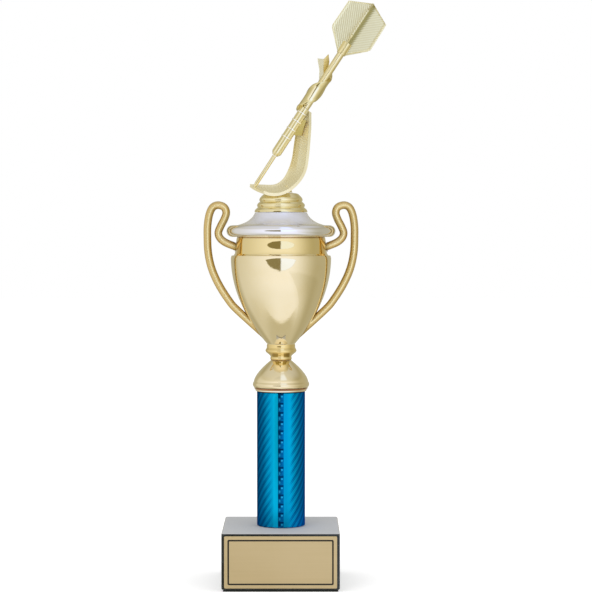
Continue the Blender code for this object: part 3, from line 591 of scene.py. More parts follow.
# %% [markdown]
# ## Shapes: turning, lofting and rounding corners
# Most of a trophy is turned. An outline of (radius, height) points is spun about the rod. Sharp
# outline corners would break a mirror finish into bands, so `eased` rounds each of them with a
# small curve first. A loft skins a row of rings, for bars, ribbons and ridged rods.

# %% Shape helpers
TURN_STEPS = 128
SHARP = math.radians(40)


def shown(name, data):
    """An object of this data, in the scene."""
    made = bpy.data.objects.new(name, data)
    bpy.context.scene.collection.objects.link(made)
    return made


def piece(name, mesh_tool, coating, body, nodes=(), placed=None):
    """Make an object of a bmesh, set it in place and let it ride."""
    if placed is not None:
        mesh_tool.transform(placed)
    bmesh.ops.recalc_face_normals(mesh_tool, faces=mesh_tool.faces)
    mesh = bpy.data.meshes.new(name)
    mesh_tool.to_mesh(mesh)
    mesh_tool.free()
    mesh.shade_smooth()
    mesh.set_sharp_from_angle(angle=SHARP)
    mesh.materials.append(coating)
    made = shown(name, mesh)
    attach(made, body)
    if nodes:
        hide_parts(*nodes)
    print(f"{name}: {len(mesh.polygons)} faces")
    return made


def eased(points, radius, steps=4):
    """Round the corners of an open outline; its two end points stay."""
    knots = [Vector((r, z, 0)) for r, z in points]
    path = [knots[0]]
    for before, corner, after in zip(knots, knots[1:], knots[2:]):
        back = before - corner
        on = after - corner
        start = corner + back.normalized() * min(radius, back.length * 0.48)
        stop = corner + on.normalized() * min(radius, on.length * 0.48)
        path += interpolate_bezier(start, start.lerp(corner, 0.6), stop.lerp(corner, 0.6), stop,
                                   steps)
    path.append(knots[-1])
    return [(point.x, point.y) for point in path]


def spun(outline, steps=TURN_STEPS):
    """Spin a closed outline of (radius, height) about the rod."""
    made = bmesh.new()
    ring = [made.verts.new((r, 0, z)) for r, z in outline]
    edges = [made.edges.new(pair) for pair in zip(ring, ring[1:] + ring[:1])]
    bmesh.ops.spin(made, geom=ring + edges, cent=(0, 0, 0), axis=(0, 0, 1),
                   angle=math.tau, steps=steps, use_merge=True)
    bmesh.ops.remove_doubles(made, verts=made.verts, dist=0.000001)
    bmesh.ops.dissolve_degenerate(made, edges=made.edges, dist=0.0000005)
    return made


def skinned(rings, looped=False):
    """Skin a row of closed rings that all have as many points, and cap or join its two ends."""
    made = bmesh.new()
    rows = [[made.verts.new(point) for point in ring] for ring in rings]
    for near, far in zip(rows, rows[1:] + (rows[:1] if looped else [])):
        for i in range(len(near)):
            j = (i + 1) % len(near)
            made.faces.new((near[i], near[j], far[j], far[i]))
    if not looped:
        made.faces.new(rows[0])
        made.faces.new(reversed(rows[-1]))
    return made


def through(points, steps):
    """A smooth run of points through the given ones."""
    knots = [Vector(point) for point in points]
    ends = [2 * knots[0] - knots[1]] + knots + [2 * knots[-1] - knots[-2]]
    path = [knots[0]]
    for before, start, stop, after in zip(ends, ends[1:], ends[2:], ends[3:]):
        path += interpolate_bezier(start, start + (stop - before) / 6,
                                   stop - (after - start) / 6, stop, steps + 1)[1:]
    return path


def bored(outside, bore):
    """Close an outline that runs down the outside with a bore about the rod."""
    return outside + [(bore, outside[-1][1]), (bore, outside[0][1])]


ROD_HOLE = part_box("tie_rod")[1].x + 0.4 * MM
print("bore for the rod", round(ROD_HOLE, 5))

# %% [markdown]
# ## Name plate
# A thin brass plate with broken edges, and a printed border line with small round corners. The
# line is its own thin frame, set into the face, so that it also shows as a shape.

# %% Plate and border
PLATE_LOW, PLATE_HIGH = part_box("name_plate")
PLATE_CORNER, PLATE_BREAK = 0.8 * MM, 0.2 * MM
BORDER_INSET, BORDER_WIDTH, BORDER_PROUD = 2.2 * MM, 1.0 * MM, 0.03 * MM
BORDER_OUTER_CORNER, BORDER_INNER_CORNER = 0.9 * MM, 0.3 * MM


def plate_ring(inset, y, corner, steps=5):
    """The plate's outline with round corners, drawn in by an inset, at a depth."""
    left, right = PLATE_LOW.x + inset + corner, PLATE_HIGH.x - inset - corner
    bottom, top = PLATE_LOW.z + inset + corner, PLATE_HIGH.z - inset - corner
    points = []
    for i, (x, z) in enumerate(((right, top), (left, top), (left, bottom), (right, bottom))):
        for j in range(steps + 1):
            angle = math.radians(90) * (i + j / steps)
            points.append((x + corner * math.cos(angle), y, z + corner * math.sin(angle)))
    return points


front, back = PLATE_LOW.y, PLATE_HIGH.y
bevel = PLATE_BREAK * 0.3
rings = [plate_ring(inset, y, PLATE_CORNER) for inset, y in (
    (0, back), (0, front + PLATE_BREAK), (bevel, front + bevel), (PLATE_BREAK, front))]
piece("engraving_plate", skinned(rings), PLATE_BRASS, "stack", ["name_plate"])

sunk, proud = front + PLATE_BREAK, front - BORDER_PROUD
inner = BORDER_INSET + BORDER_WIDTH
rings = [plate_ring(BORDER_INSET, sunk, BORDER_OUTER_CORNER),
         plate_ring(BORDER_INSET, proud, BORDER_OUTER_CORNER),
         plate_ring(inner, proud, BORDER_INNER_CORNER),
         plate_ring(inner, sunk, BORDER_INNER_CORNER)]
piece("plate_border", skinned(rings, looped=True), BORDER_INK, "stack")

# %% [markdown]
# ## Column and collar
# The foil tube is one turned wall with a small break at each end. The collar is a copper-coloured
# ring that flares to carry the wider foot.

# %% Turn the tube and its collar
WALL = 1.5 * MM
COLLAR_LOW, COLLAR_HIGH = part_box("column_collar")

low, high = COLUMN_LOW.z, COLUMN_HIGH.z
inner = COLUMN_RADIUS - WALL
outside = eased([(inner, high), (COLUMN_RADIUS, high), (COLUMN_RADIUS, low), (inner, low)],
                0.3 * MM)
piece("foil_column", spun(outside), FOIL, "stack", ["column_tube"])

rise = COLLAR_HIGH.z - COLLAR_LOW.z
lip = COLLAR_HIGH.x - COLUMN_RADIUS
curve = [(ROD_HOLE, COLLAR_HIGH.z)] + [
    (COLLAR_HIGH.x - back * lip, COLLAR_LOW.z + up * rise)
    for back, up in ((0.08, 1.0), (0.0, 0.82), (0.36, 0.5), (0.44, 0.42), (0.5, 0.12),
                     (1.0, 0.0))]
piece("copper_collar", spun(eased(curve, 0.25 * MM) + [(ROD_HOLE, COLLAR_LOW.z)]),
      COLLAR_COPPER, "stack", ["column_collar"])

# %% [markdown]
# ## Cup: foot, knop, bowl and neck band
# The cup is four turned mouldings. The dome of the foot and the bowl follow power curves, which
# stay full near their widest ring as drawn shells do. The knop's rings are a short outline with
# eased corners. The neck band bows out at its middle and runs on into the bowl's shoulder, which
# ends in a small crisp ledge, so one function gives the radius of both.

# %% Measures of the cup
FOOT_LOW, FOOT_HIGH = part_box("foot_dome")
KNOP_LOW, KNOP_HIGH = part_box("stem_knop")
BOWL_LOW, BOWL_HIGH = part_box("cup_bowl")
NECK_LOW, NECK_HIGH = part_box("cup_neck")
FOOT_BEAD, FOOT_BEAD_HEIGHT = 0.7 * MM, 3.6 * MM
FOOT_WAIST, BEAD_STEPS = 6.9 * MM, 12
FOOT_FULLNESS = 1.55
BOWL_BOTTOM = 9.4 * MM
BOWL_FULLNESS = 2.05
SHOULDER, LEDGE_WIDTH = 4.2 * MM, 1.4 * MM
NECK_CURVE = 20.0 * MM
NECK_MIDDLE = (NECK_HIGH.z + BOWL_HIGH.z) / 2 - 1.0 * MM
SHELL = 1.3 * MM
CURVE = 40


def neck_radius(z):
    """The band leans in above its middle and out below it, and so runs on into the shoulder."""
    rise = z - NECK_MIDDLE
    return NECK_HIGH.x - 0.1 * MM - rise * abs(rise) / (2 * NECK_CURVE)


# %% Turn the foot
wide = FOOT_HIGH.x - FOOT_BEAD
bead_top = FOOT_LOW.z + FOOT_BEAD_HEIGHT
dome_height = FOOT_HIGH.z - bead_top
dome = [(FOOT_WAIST + (wide - FOOT_WAIST) * (1 - (1 - i / CURVE) ** FOOT_FULLNESS),
         FOOT_HIGH.z - dome_height * i / CURVE) for i in range(CURVE + 1)]
bead = [(wide + FOOT_BEAD * math.sin(math.pi * share), bead_top - FOOT_BEAD_HEIGHT * share)
        for share in (i / BEAD_STEPS for i in range(1, BEAD_STEPS + 1))]
inside = [(radius - SHELL, height - SHELL) for radius, height in dome[::4]]
outline = [(ROD_HOLE, FOOT_HIGH.z)] + dome + bead + [(wide - SHELL, FOOT_LOW.z)]
piece("cup_foot", spun(outline + inside[::-1] + [(ROD_HOLE, inside[0][1])]), CUP_GOLD,
      "stack", ["foot_dome"])

# %% Turn the knop
rise = KNOP_HIGH.z - KNOP_LOW.z
rings = [(0.885, 1.0), (0.913, 0.88), (0.894, 0.79), (0.942, 0.7), (1.0, 0.6), (0.952, 0.49),
         (0.808, 0.38)]
waist = [(1.043, 0.28), (0.986, 0.2), (1.029, 0.13), (1.029, 0.08), (0.986, 0.0)]
outline = [(across * KNOP_HIGH.x, KNOP_LOW.z + up * rise) for across, up in rings]
outline += [(across * FOOT_WAIST, KNOP_LOW.z + up * rise) for across, up in waist]
piece("cup_stem", spun(bored(eased(outline, 0.55 * MM, 6), ROD_HOLE)), STEM_GOLD,
      "stack", ["stem_knop"])

# %% Turn the bowl
widest = BOWL_HIGH.x
depth = BOWL_HIGH.z - SHOULDER - BOWL_LOW.z
shoulder = [(neck_radius(BOWL_HIGH.z - down * MM), BOWL_HIGH.z - down * MM)
            for down in (0.0, 0.7, 1.4, 2.1, 2.8, 3.6)]
shoulder += [(widest - LEDGE_WIDTH, LEDGE), (widest - 0.45 * MM, LEDGE - 0.15 * MM)]
curve = [(BOWL_BOTTOM + (widest - BOWL_BOTTOM) * (1 - (i / CURVE) ** BOWL_FULLNESS),
          BOWL_LOW.z + depth * (1 - i / CURVE)) for i in range(1, CURVE + 1)]
inside = [(radius - SHELL, height + SHELL) for radius, height in curve[::4]]
outline = shoulder + curve + [(ROD_HOLE, BOWL_LOW.z), (ROD_HOLE, inside[-1][1])]
piece("cup_shell", spun(outline + inside[::-1] + [(NECK_HIGH.x - SHELL, BOWL_HIGH.z)]), CUP_GOLD,
      "stack", ["cup_bowl"])

# %% Turn the neck band
steps = 28
heights = [NECK_HIGH.z - (NECK_HIGH.z - BOWL_HIGH.z) * i / steps for i in range(steps + 1)]
band = [(neck_radius(z), z) for z in heights]
piece("cup_band", spun(bored(band, NECK_HIGH.x - SHELL)), CUP_GOLD, "stack",
      ["cup_neck"])

# %% [markdown]
# ## Lid
# The lid is silver. A concave flare runs down from the figure's seat and ends in a thick round rim
# that overhangs the neck. Inside, a spigot centres it in the band.

# %% Turn the lid
LID_LOW, LID_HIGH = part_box("lid")
LID_TOP = 17.1 * MM
FLARE_END = 27.3 * MM
FLARE_HEIGHT = 7.9 * MM
RIM_TUBE, RIM_ABOVE_SEAT = 3.8 * MM, 3.6 * MM
RIM_START, RIM_SWEEP, RIM_STEPS = 118, 222, 32
SPIGOT_DEPTH = 3.0 * MM

seat = LID_LOW.z + SPIGOT_DEPTH
centre = Vector((LID_HIGH.x - RIM_TUBE, seat + RIM_ABOVE_SEAT, 0))
spread = FLARE_END - LID_TOP
pulls = [Vector((LID_TOP + out * spread, LID_HIGH.z - down * FLARE_HEIGHT, 0))
         for out, down in ((0, 0), (0.15, 0.47), (0.48, 0.81), (1, 1))]
flare = [(point.x, point.y) for point in interpolate_bezier(*pulls, 28)]
rim = []
for i in range(RIM_STEPS + 1):
    angle = math.radians(RIM_START - RIM_SWEEP * i / RIM_STEPS)
    rim.append((centre.x + RIM_TUBE * math.cos(angle), centre.y + RIM_TUBE * math.sin(angle)))
spigot = NECK_HIGH.x - SHELL - 0.3 * MM
skirt = spigot - SHELL
inside = [(radius - SHELL, height - SHELL) for radius, height in flare[::4]]
outline = [(ROD_HOLE, LID_HIGH.z)] + flare + rim + [
    (rim[-1][0], seat), (spigot, seat), (spigot, LID_LOW.z), (skirt, LID_LOW.z),
    (skirt, flare[-1][1] - 2 * SHELL)] + inside[::-1] + [(ROD_HOLE, LID_HIGH.z - SHELL)]
piece("cup_lid", spun(outline), LID_SILVER, "stack", ["lid"])

# %% [markdown]
# ## Handles
# Each handle is one round bar bent in a plane: up from the neck in a loop, then down in a long arm
# to the bowl. A curve object with a bevel would do, but a loft of rings gives control of the ends.

# %% Bend the handles
BAR = 2.55 * MM
BAR_SIDES = 24
# The scroll is measured from the bottom of the neck and the foot from the lower screw.
SCROLL = [(26.8, 0.4), (30.1, 1.8), (36.6, 4.5), (40.2, 7.5), (41.3, 11.0), (39.8, 15.1),
          (37.3, 20.0), (36.1, 24.2), (37.5, 27.7), (41.4, 29.1), (44.9, 27.7), (47.1, 23.3),
          (48.3, 16.5), (48.5, 9.0), (48.0, -2.0), (45.7, -12.6), (41.1, -23.1), (34.4, -33.7)]
FOOT_END = [(29.0, 3.8), (14.5, -9.4), (9.6, -13.8)]


def cup_radius(z):
    """The outside of the bowl or the neck at a height."""
    if z > BOWL_HIGH.z - SHOULDER:
        down = max(0.0, (BOWL_HIGH.z - z) / SHOULDER)
        return NECK_HIGH.x + (BOWL_HIGH.x - NECK_HIGH.x) * down
    depth = BOWL_HIGH.z - SHOULDER - BOWL_LOW.z
    share = min(1.0, (BOWL_HIGH.z - SHOULDER - z) / depth)
    return BOWL_BOTTOM + (BOWL_HIGH.x - BOWL_BOTTOM) * (1 - share ** BOWL_FULLNESS)


def landed(point):
    """Slide a point that lies inside the cup out to the cup's surface."""
    reach = math.hypot(point.x, point.y)
    least = cup_radius(point.z) + 0.02 * MM
    if reach >= least:
        return point
    return Vector((point.x * least / reach, point.y * least / reach, point.z))


low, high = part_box("handle_screw_lower_right")
screw = (low.z + high.z) / 2
route = [(x * MM, 0, NECK_LOW.z + z * MM) for x, z in SCROLL]
route += [(x * MM, 0, screw + z * MM) for x, z in FOOT_END]
path = through(route, 10)
for word, side in (("left", -1), ("right", 1)):
    points = [Vector((side * p.x, 0, p.z)) for p in path]
    rings = []
    for i, point in enumerate(points):
        along = points[min(i + 1, len(points) - 1)] - points[max(i - 1, 0)]
        up = along.cross(Vector((0, 1, 0))).normalized()
        turns = [math.tau * k / BAR_SIDES for k in range(BAR_SIDES)]
        rings.append([landed(point + BAR * Vector((0, math.cos(t), 0)) + BAR * math.sin(t) * up)
                      for t in turns])
    piece(word + "_bar", skinned(rings), HANDLE_GOLD, "stack",
          [word + "_handle"])

# %% [markdown]
# ## Figure base and post
# The figure screws down on the rod by this stepped round base, and turns with it. The dart and the
# ribbon stand on it by a short post.

# %% Turn the figure base
FLANGE_LOW, FLANGE_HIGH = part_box("figure_base")
HOLLOW_RADIUS, HOLLOW_DEPTH = 10.2 * MM, 6.0 * MM
INSERT_RADIUS, INSERT_DEPTH = 5.3 * MM, 5.8 * MM

rise = FIGURE_TOP - FLANGE_LOW.z
rings = [(0.0, 1.0), (0.529, 1.0), (0.644, 0.97), (0.753, 0.82), (0.816, 0.71), (0.822, 0.6),
         (0.787, 0.555), (0.845, 0.5), (0.908, 0.4), (0.902, 0.3), (0.868, 0.25),
         (0.943, 0.18), (1.0, 0.08), (1.0, 0.0)]
outline = eased([(across * FLANGE_HIGH.x, FLANGE_LOW.z + up * rise) for across, up in rings],
                0.8 * MM, 6)
hollow = FLANGE_LOW.z + HOLLOW_DEPTH
outline += [(HOLLOW_RADIUS, FLANGE_LOW.z), (HOLLOW_RADIUS, hollow), (INSERT_RADIUS, hollow),
            (INSERT_RADIUS, hollow + INSERT_DEPTH), (0, hollow + INSERT_DEPTH)]
piece("stepped_base", spun(outline), FIGURE_GOLD, "figure", ["figure_base"])

# %% Turn the post
low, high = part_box("ribbon_post")
middle = (low + high) / 2
radius = (high.x - low.x) / 2
top = high.z - 1.2 * MM
outline = [(0, top), (radius, top), (radius, low.z + 0.8 * MM),
           (radius + 0.6 * MM, low.z), (0, low.z)]
post = spun(outline, 32)
bmesh.ops.translate(post, verts=post.verts, vec=(middle.x, middle.y, 0))
piece("short_post", post, FIGURE_GOLD, "figure", ["ribbon_post"])

# %% [markdown]
# ## Dart
# The dart is modelled upright along its own axis and then leaned as a whole, so that its ridges run
# square to it. The barrel's four rings and the fine rows on barrel and shaft are real ridges in the
# mesh, because they show against the light. The barrel's long grooves are mostly in its finish.

# %% Lean the dart and ridge its rods
LEAN = Matrix.Translation((AXIS_X, 0, AXIS_Z)) @ Matrix.Rotation(LEAN_ANGLE, 4, "Y")
NEEDLE, NOSE = 22.9 * MM, 25.5 * MM
SHAFT_START, SHAFT_END = 60.4 * MM, 109.1 * MM
NEEDLE_RADIUS, BARREL_RADIUS, SHAFT_RADIUS = 1.3 * MM, 3.325 * MM, 2.45 * MM
RING_PROUD, ROW_PITCH, BARREL_GROOVES = 0.3 * MM, 0.9 * MM, 12


def ridged(low, high, radius_at, rows, sides):
    """A rod whose radius is a function of the height and the angle."""
    rings = []
    for i in range(rows + 1):
        z = low + (high - low) * i / rows
        turns = [math.tau * k / sides for k in range(sides)]
        rings.append([(radius_at(z, t) * math.cos(t), radius_at(z, t) * math.sin(t), z)
                      for t in turns])
    return skinned(rings)


def wave(value):
    """A ridge from 0 to 1 that repeats as the value grows by 1."""
    return 0.5 - 0.5 * math.cos(math.tau * value)


def barrel_radius(z, turn):
    share = min(1.0, (z - NEEDLE) / (NOSE - NEEDLE))
    radius = NEEDLE_RADIUS + (BARREL_RADIUS - NEEDLE_RADIUS) * share ** 0.8
    if z < NOSE:
        return radius
    if any(top - RING_WIDTH < z < top for top in RING_TOPS):
        return BARREL_RADIUS + RING_PROUD
    rows, grooves = wave(z / ROW_PITCH), wave(turn * BARREL_GROOVES / math.tau)
    return BARREL_RADIUS - 0.04 * MM * rows - 0.03 * MM * grooves


def shaft_radius(z, turn):
    return SHAFT_RADIUS - 0.045 * MM * wave(z / ROW_PITCH)


tip = [(0, NEEDLE), (NEEDLE_RADIUS, NEEDLE), (NEEDLE_RADIUS, 1.2 * MM),
       (NEEDLE_RADIUS * 0.5, -1.4 * MM), (0, -1.4 * MM)]
piece("needle", spun(tip, 32), RIDGED_GOLD, "figure", ["dart_needle"], LEAN)
piece("barrel", ridged(NEEDLE + 0.3 * MM, BARREL_END, barrel_radius, 300, 72), BARREL_GOLD,
      "figure", ["dart_barrel"], LEAN)
piece("shaft", ridged(SHAFT_START, SHAFT_END, shaft_radius, 260, 40), RIDGED_GOLD,
      "figure", ["dart_shaft"], LEAN)

# %% [markdown]
# ## Flight
# Four thin fins cross on a sleeve. Each fin has a raised edge and fine ribs. On the left fin they
# stand nearly upright, and on the right one they lie nearly level, so both are laid out in the
# leaned dart's own upright and level directions.

# %% Make the fins
SLEEVE_START = SHAFT_END - 6.4 * MM
SLEEVE_RADIUS, SLEEVE_LENGTH = 3.1 * MM, 8.5 * MM
FIN_ROOT = 2.4 * MM
FIN_LENGTH = 39.4 * MM
FIN_OUTLINE = [(2.4, 0), (14.1, 11.2), (15.1, 13.0), (14.7, 32.2), (0.0, 39.4)]
FIN_HALF, RIM_HALF = 0.4 * MM, 0.6 * MM
RIM_WIDTH = 0.9 * MM


def fin_reach(z):
    """How far a fin reaches from the axis at a height above the sleeve's start."""
    for (near, low), (far, high) in zip(FIN_OUTLINE, FIN_OUTLINE[1:]):
        if z <= high * MM:
            return (near + (far - near) * (z / MM - low) / (high - low)) * MM
    return 0.0


def fin_thickness(x, z, reach):
    """Half a fin's thickness: thin inside, thicker along the edge and eased at its very rim."""
    from_foot = z * 1.2 + (0 if x > FIN_ROOT else 9)
    to_edge = min(reach - x, (FIN_LENGTH - z) * 0.9, from_foot)
    if to_edge < 0.15 * MM:
        return RIM_HALF * 0.7
    fade = min(1.0, max(0.0, (to_edge - RIM_WIDTH) / (0.5 * MM)))
    return RIM_HALF + (FIN_HALF - RIM_HALF) * fade


def make_fin(name, turn, coating, nodes=()):
    """One fin in the plane that this turn about the dart's axis gives."""
    rows, columns = 90, 36
    rings = []
    for i in range(rows + 1):
        z = FIN_LENGTH * i / rows
        reach = max(fin_reach(z), 0.4 * MM)
        half = [(x, fin_thickness(x, z, reach))
                for x in (reach * j / columns for j in range(columns + 1))]
        rings.append([(x, -y, SLEEVE_START + z) for x, y in half]
                     + [(x, y, SLEEVE_START + z) for x, y in half[::-1]])
    piece(name, skinned(rings), coating, "figure", nodes,
          LEAN @ Matrix.Rotation(turn, 4, "Z"))


make_fin("fin_right", 0.0, RIBS_LEVEL, ["dart_flight"])
make_fin("fin_left", math.pi, RIBS_UPRIGHT)
make_fin("fin_back", math.pi / 2, RIBS_LEVEL)
make_fin("fin_front", -math.pi / 2, RIBS_UPRIGHT)
tube = [(SHAFT_RADIUS + 0.3 * MM, SLEEVE_LENGTH), (SLEEVE_RADIUS, SLEEVE_LENGTH),
        (SLEEVE_RADIUS, 0), (SHAFT_RADIUS + 0.3 * MM, 0)]
outline = [(r, SLEEVE_START + z) for r, z in eased(tube, 0.4 * MM)]
piece("flight_sleeve", spun(outline, 48), FIGURE_GOLD, "figure", (), LEAN)

# %% [markdown]
# ## Ribbon
# The ribbon sweeps from the point under the dart and up behind its barrel, wraps the shaft and
# ends in a forked tail. Its long face is dished between two raised rims and ribbed across. The
# loft walks both rims at once and lays a fine cross-section between them at every step.

# %% Sweep the ribbon
SWEEP_BACK = [(-20.5, 3.0, 5.4), (-12.5, 3.6, 5.1), (-4.2, 4.2, 5.3), (1.4, 4.8, 8.8),
              (5.2, 5.0, 15.2), (7.7, 5.0, 22.8), (9.0, 5.0, 31.5), (10.3, 5.0, 39.0),
              (13.5, 5.2, 47.5), (16.8, 5.4, 54.0)]
SWEEP_FRONT = [(-11.0, -15.0, 0.4), (-7.2, -15.0, -0.8), (-1.2, -14.8, -0.8), (5.6, -14.5, 2.0),
               (12.0, -13.5, 8.0), (15.8, -12.5, 15.2), (17.4, -11.2, 24.8), (18.3, -9.2, 34.5),
               (18.9, -6.0, 44.0), (19.0, 0.5, 53.5)]
RIBBON_THICK, RIM_UP, RIM_ACROSS, DISH = 1.3 * MM, 0.7 * MM, 1.1 * MM, 0.6 * MM
RIBBON_RIB, RIBBON_PITCH = 0.16 * MM, 1.8 * MM
RIM_RIB, RIM_PITCH = 0.12 * MM, 1.1 * MM
ACROSS = 26


def rim_line(points, steps=64):
    return through([(x * MM, y * MM, FIGURE_TOP + z * MM) for x, y, z in points], steps)


back, front = rim_line(SWEEP_BACK), rim_line(SWEEP_FRONT)
middle = [(a + b) / 2 for a, b in zip(back, front)]
walked = [0.0]
for near, far in zip(middle, middle[1:]):
    walked.append(walked[-1] + (far - near).length)
rings = []
for i, centre in enumerate(middle):
    along = middle[min(i + 1, len(middle) - 1)] - middle[max(i - 1, 0)]
    across = (front[i] - back[i]).normalized()
    half = (front[i] - back[i]).length / 2
    face = across.cross(along).normalized()
    rib = wave(walked[i] / RIBBON_PITCH)
    ring = []
    for j in range(ACROSS + 1):
        share = 2 * j / ACROSS - 1
        to_rim = half * (1 - abs(share))
        hollow = -DISH * (1 - share * share) + RIBBON_RIB * rib
        lift = max(0.0, 1 - (to_rim / RIM_ACROSS) ** 2)
        height = hollow + (RIM_UP - hollow) * lift ** 0.5
        if share > 0 and lift > 0:
            height += RIM_RIB * wave(walked[i] / RIM_PITCH)
        ring.append(centre + share * half * across + height * face)
    for share in (1.0, 0.6, 0.0, -0.6, -1.0):
        under = -RIBBON_THICK - DISH * (1 - share * share)
        ring.append(centre + share * half * across + under * face)
    rings.append(ring)
piece("ribbon_face", skinned(rings), SWEEP_GOLD, "figure", ["ribbon_sweep"])
print("ribbon length", round(walked[-1], 4))

# %% [markdown]
# ## Wrap, tail and web
# Where the ribbon crosses in front of the shaft it is a band wound round the dart. It is lofted
# round the axis, with a rolled lip on each edge. The tail behind the shaft is a swallowtail
# folded down its middle, and a small web ties the barrel to the ribbon.

# %% Wind the wrap
# Degrees round the dart (270 is the front), near edge, far edge and outer radius in millimetres.
WRAP = [(100, 56.0, 64.5, 5.6), (140, 56.0, 67.5, 5.6), (180, 57.2, 71.7, 5.6),
        (215, 59.2, 75.5, 6.0), (250, 61.8, 79.0, 6.0), (285, 64.8, 81.5, 5.6),
        (320, 68.0, 83.2, 5.2), (350, 72.5, 85.0, 4.8), (380, 78.5, 87.0, 4.4),
        (410, 82.5, 89.0, 4.2)]
WRAP_LIP, WRAP_DISH, WRAP_EDGE = 0.55 * MM, 0.15 * MM, 0.5 * MM
WRAP_ACROSS = 14

knots = through([(near, far, outer) for _, near, far, outer in WRAP], 10)
angles = through([(degrees, 0, 0) for degrees, _, _, _ in WRAP], 10)
rings = []
inner = SHAFT_RADIUS + 0.05 * MM
for knot, angle in zip(knots, angles):
    near, far, outer = knot.x * MM, knot.y * MM, knot.z * MM
    out = Vector((math.cos(math.radians(angle.x)), math.sin(math.radians(angle.x)), 0))
    ring = [inner * out + Vector((0, 0, near))]
    for j in range(WRAP_ACROSS + 1):
        share = j / WRAP_ACROSS
        lip = max(0.0, 1 - min(share, 1 - share) * WRAP_ACROSS / 2)
        radius = outer - WRAP_LIP + WRAP_LIP * lip - WRAP_DISH * wave(share)
        if j in (0, WRAP_ACROSS):
            radius -= WRAP_EDGE
        ring.append(radius * out + Vector((0, 0, near + (far - near) * share)))
    ring.append(inner * out + Vector((0, 0, far)))
    rings.append(ring)
piece("ribbon_band", skinned(rings), WRAP_GOLD, "figure", ["ribbon_wrap"],
      LEAN)

# %% Fold the tail and fit the web
TAIL_FOLD = 28.0
TAIL_LEFT = [(24.3, 72.7), (25.3, 75.0), (25.3, 81.4), (24.0, 88.8), (28.2, 88.4), (28.0, 78.0),
             (26.5, 75.0)]
TAIL_RIGHT = [(28.0, 78.0), (28.2, 88.4), (31.4, 91.9), (32.0, 86.6), (30.8, 81.2), (29.0, 76.6)]
TAIL_THICK = 1.2 * MM
WEB = [(8.4, 38.6), (9.2, 37.9), (13.6, 37.9), (16.6, 48.0), (12.0, 48.0)]


def plate_of(corners, y_at, thick):
    """A thin plate over corners in (x, height), whose depth is a function of x."""
    front = [Vector((x * MM, y_at(x), FIGURE_TOP + z * MM)) for x, z in corners]
    made = skinned([front, [point + Vector((0, thick, 0)) for point in front]])
    bmesh.ops.bevel(made, geom=list(made.edges), offset=0.15 * MM, segments=2, affect="EDGES")
    return made


behind = SHAFT_RADIUS + 0.3 * MM
piece("tail_left", plate_of(TAIL_LEFT, lambda x: behind, TAIL_THICK), RIDGED_GOLD, "figure",
      ["ribbon_tail"])
folded = plate_of(TAIL_RIGHT, lambda x: behind + (x - TAIL_FOLD) * 0.5 * MM, TAIL_THICK)
piece("tail_right", folded, RIDGED_GOLD, "figure")
low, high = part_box("dart_web")
web = plate_of(WEB, lambda x: low.y, high.y - low.y)
piece("barrel_web", web, WEB_GOLD, "figure", ["dart_web"])

# %% [markdown]
# ## Room: floor, world, lamps
# The object is shot on white. The floor is a plain diffuse sheet with a little glow for the camera,
# so it reads white and still takes a shadow. The gold doesn't mirror the floor, and so the lower
# half of the world shows in it instead.

# %% Floor
CAMERA_RAY, GLOSSY_RAY, TRANSMISSION_RAY = 0, 3, 6
FLOOR_HALF, FLOOR_GREY, FLOOR_GLOW = 6.0, 0.86, 0.35


def rays(tree):
    """1 on what the camera sees, on what mirrors see and on what clear things show."""
    return [tree.add("ShaderNodeLightPath", out=i)
            for i in (CAMERA_RAY, GLOSSY_RAY, TRANSMISSION_RAY)]


@finish
def glowing(spot, x, y, z):
    camera, glossy, clear = rays(spot)
    seen = camera.math("MAXIMUM", glossy).math("MAXIMUM", clear)
    matt = spot.add("ShaderNodeBsdfDiffuse", None, {"Color": (*(FLOOR_GREY,) * 3, 1)})
    glow = spot.add("ShaderNodeEmission", None, {"Strength": seen * FLOOR_GLOW})
    return spot.add("ShaderNodeAddShader", None, {0: matt, 1: glow})


made = bmesh.new()
bmesh.ops.create_grid(made, x_segments=1, y_segments=1, size=FLOOR_HALF)
mesh = bpy.data.meshes.new("floor")
made.to_mesh(mesh)
made.free()
mesh.materials.append(glowing("floor_white"))
floor = shown("floor", mesh)
floor.visible_glossy = False
print("floor", round(2 * FLOOR_HALF, 1), "m wide")

# %% [markdown]
# ## What the plate mirrors
# Polished gold has no look of its own, so the world is drawn as the room it should mirror, from the
# angle across and the angle up or down. It is a white tent, bright ahead, dimmer to the left and
# dimmest to the right and behind, with a leaning card to the right. An opening behind the camera is
# half dark and half lamp. A tall strip of lamp stands above it, and the edge of a darker table
# lies below. The camera sees plain white, and matt pieces are lit by one even grey.

# %% World
FRONT, LEFT, RIGHT, BACK, CEILING, UNDER = 1.06, 0.7, 0.47, 0.46, 0.72, 0.57
TABLE_EDGE = 0.45
CARD_EDGE, CARD_START, CARD_LEAN, CARD_DIM = 22, 18, 1.6, 0.1
OPENING_WIDE, OPENING_HIGH, OPENING_DARK = math.radians(35), math.radians(15), 0.24
LAMP_TINT, STRIP_SHARE = (1.04, 1.16, 1.5, 1), 0.8
PLAIN_LIGHT = 0.85


def rises(angle, low, high):
    """0 below one angle and 1 above another, both in degrees."""
    return angle.smooth_step(math.radians(low), math.radians(high))


def falls(angle, low, high):
    return 1 - rises(angle, low, high)


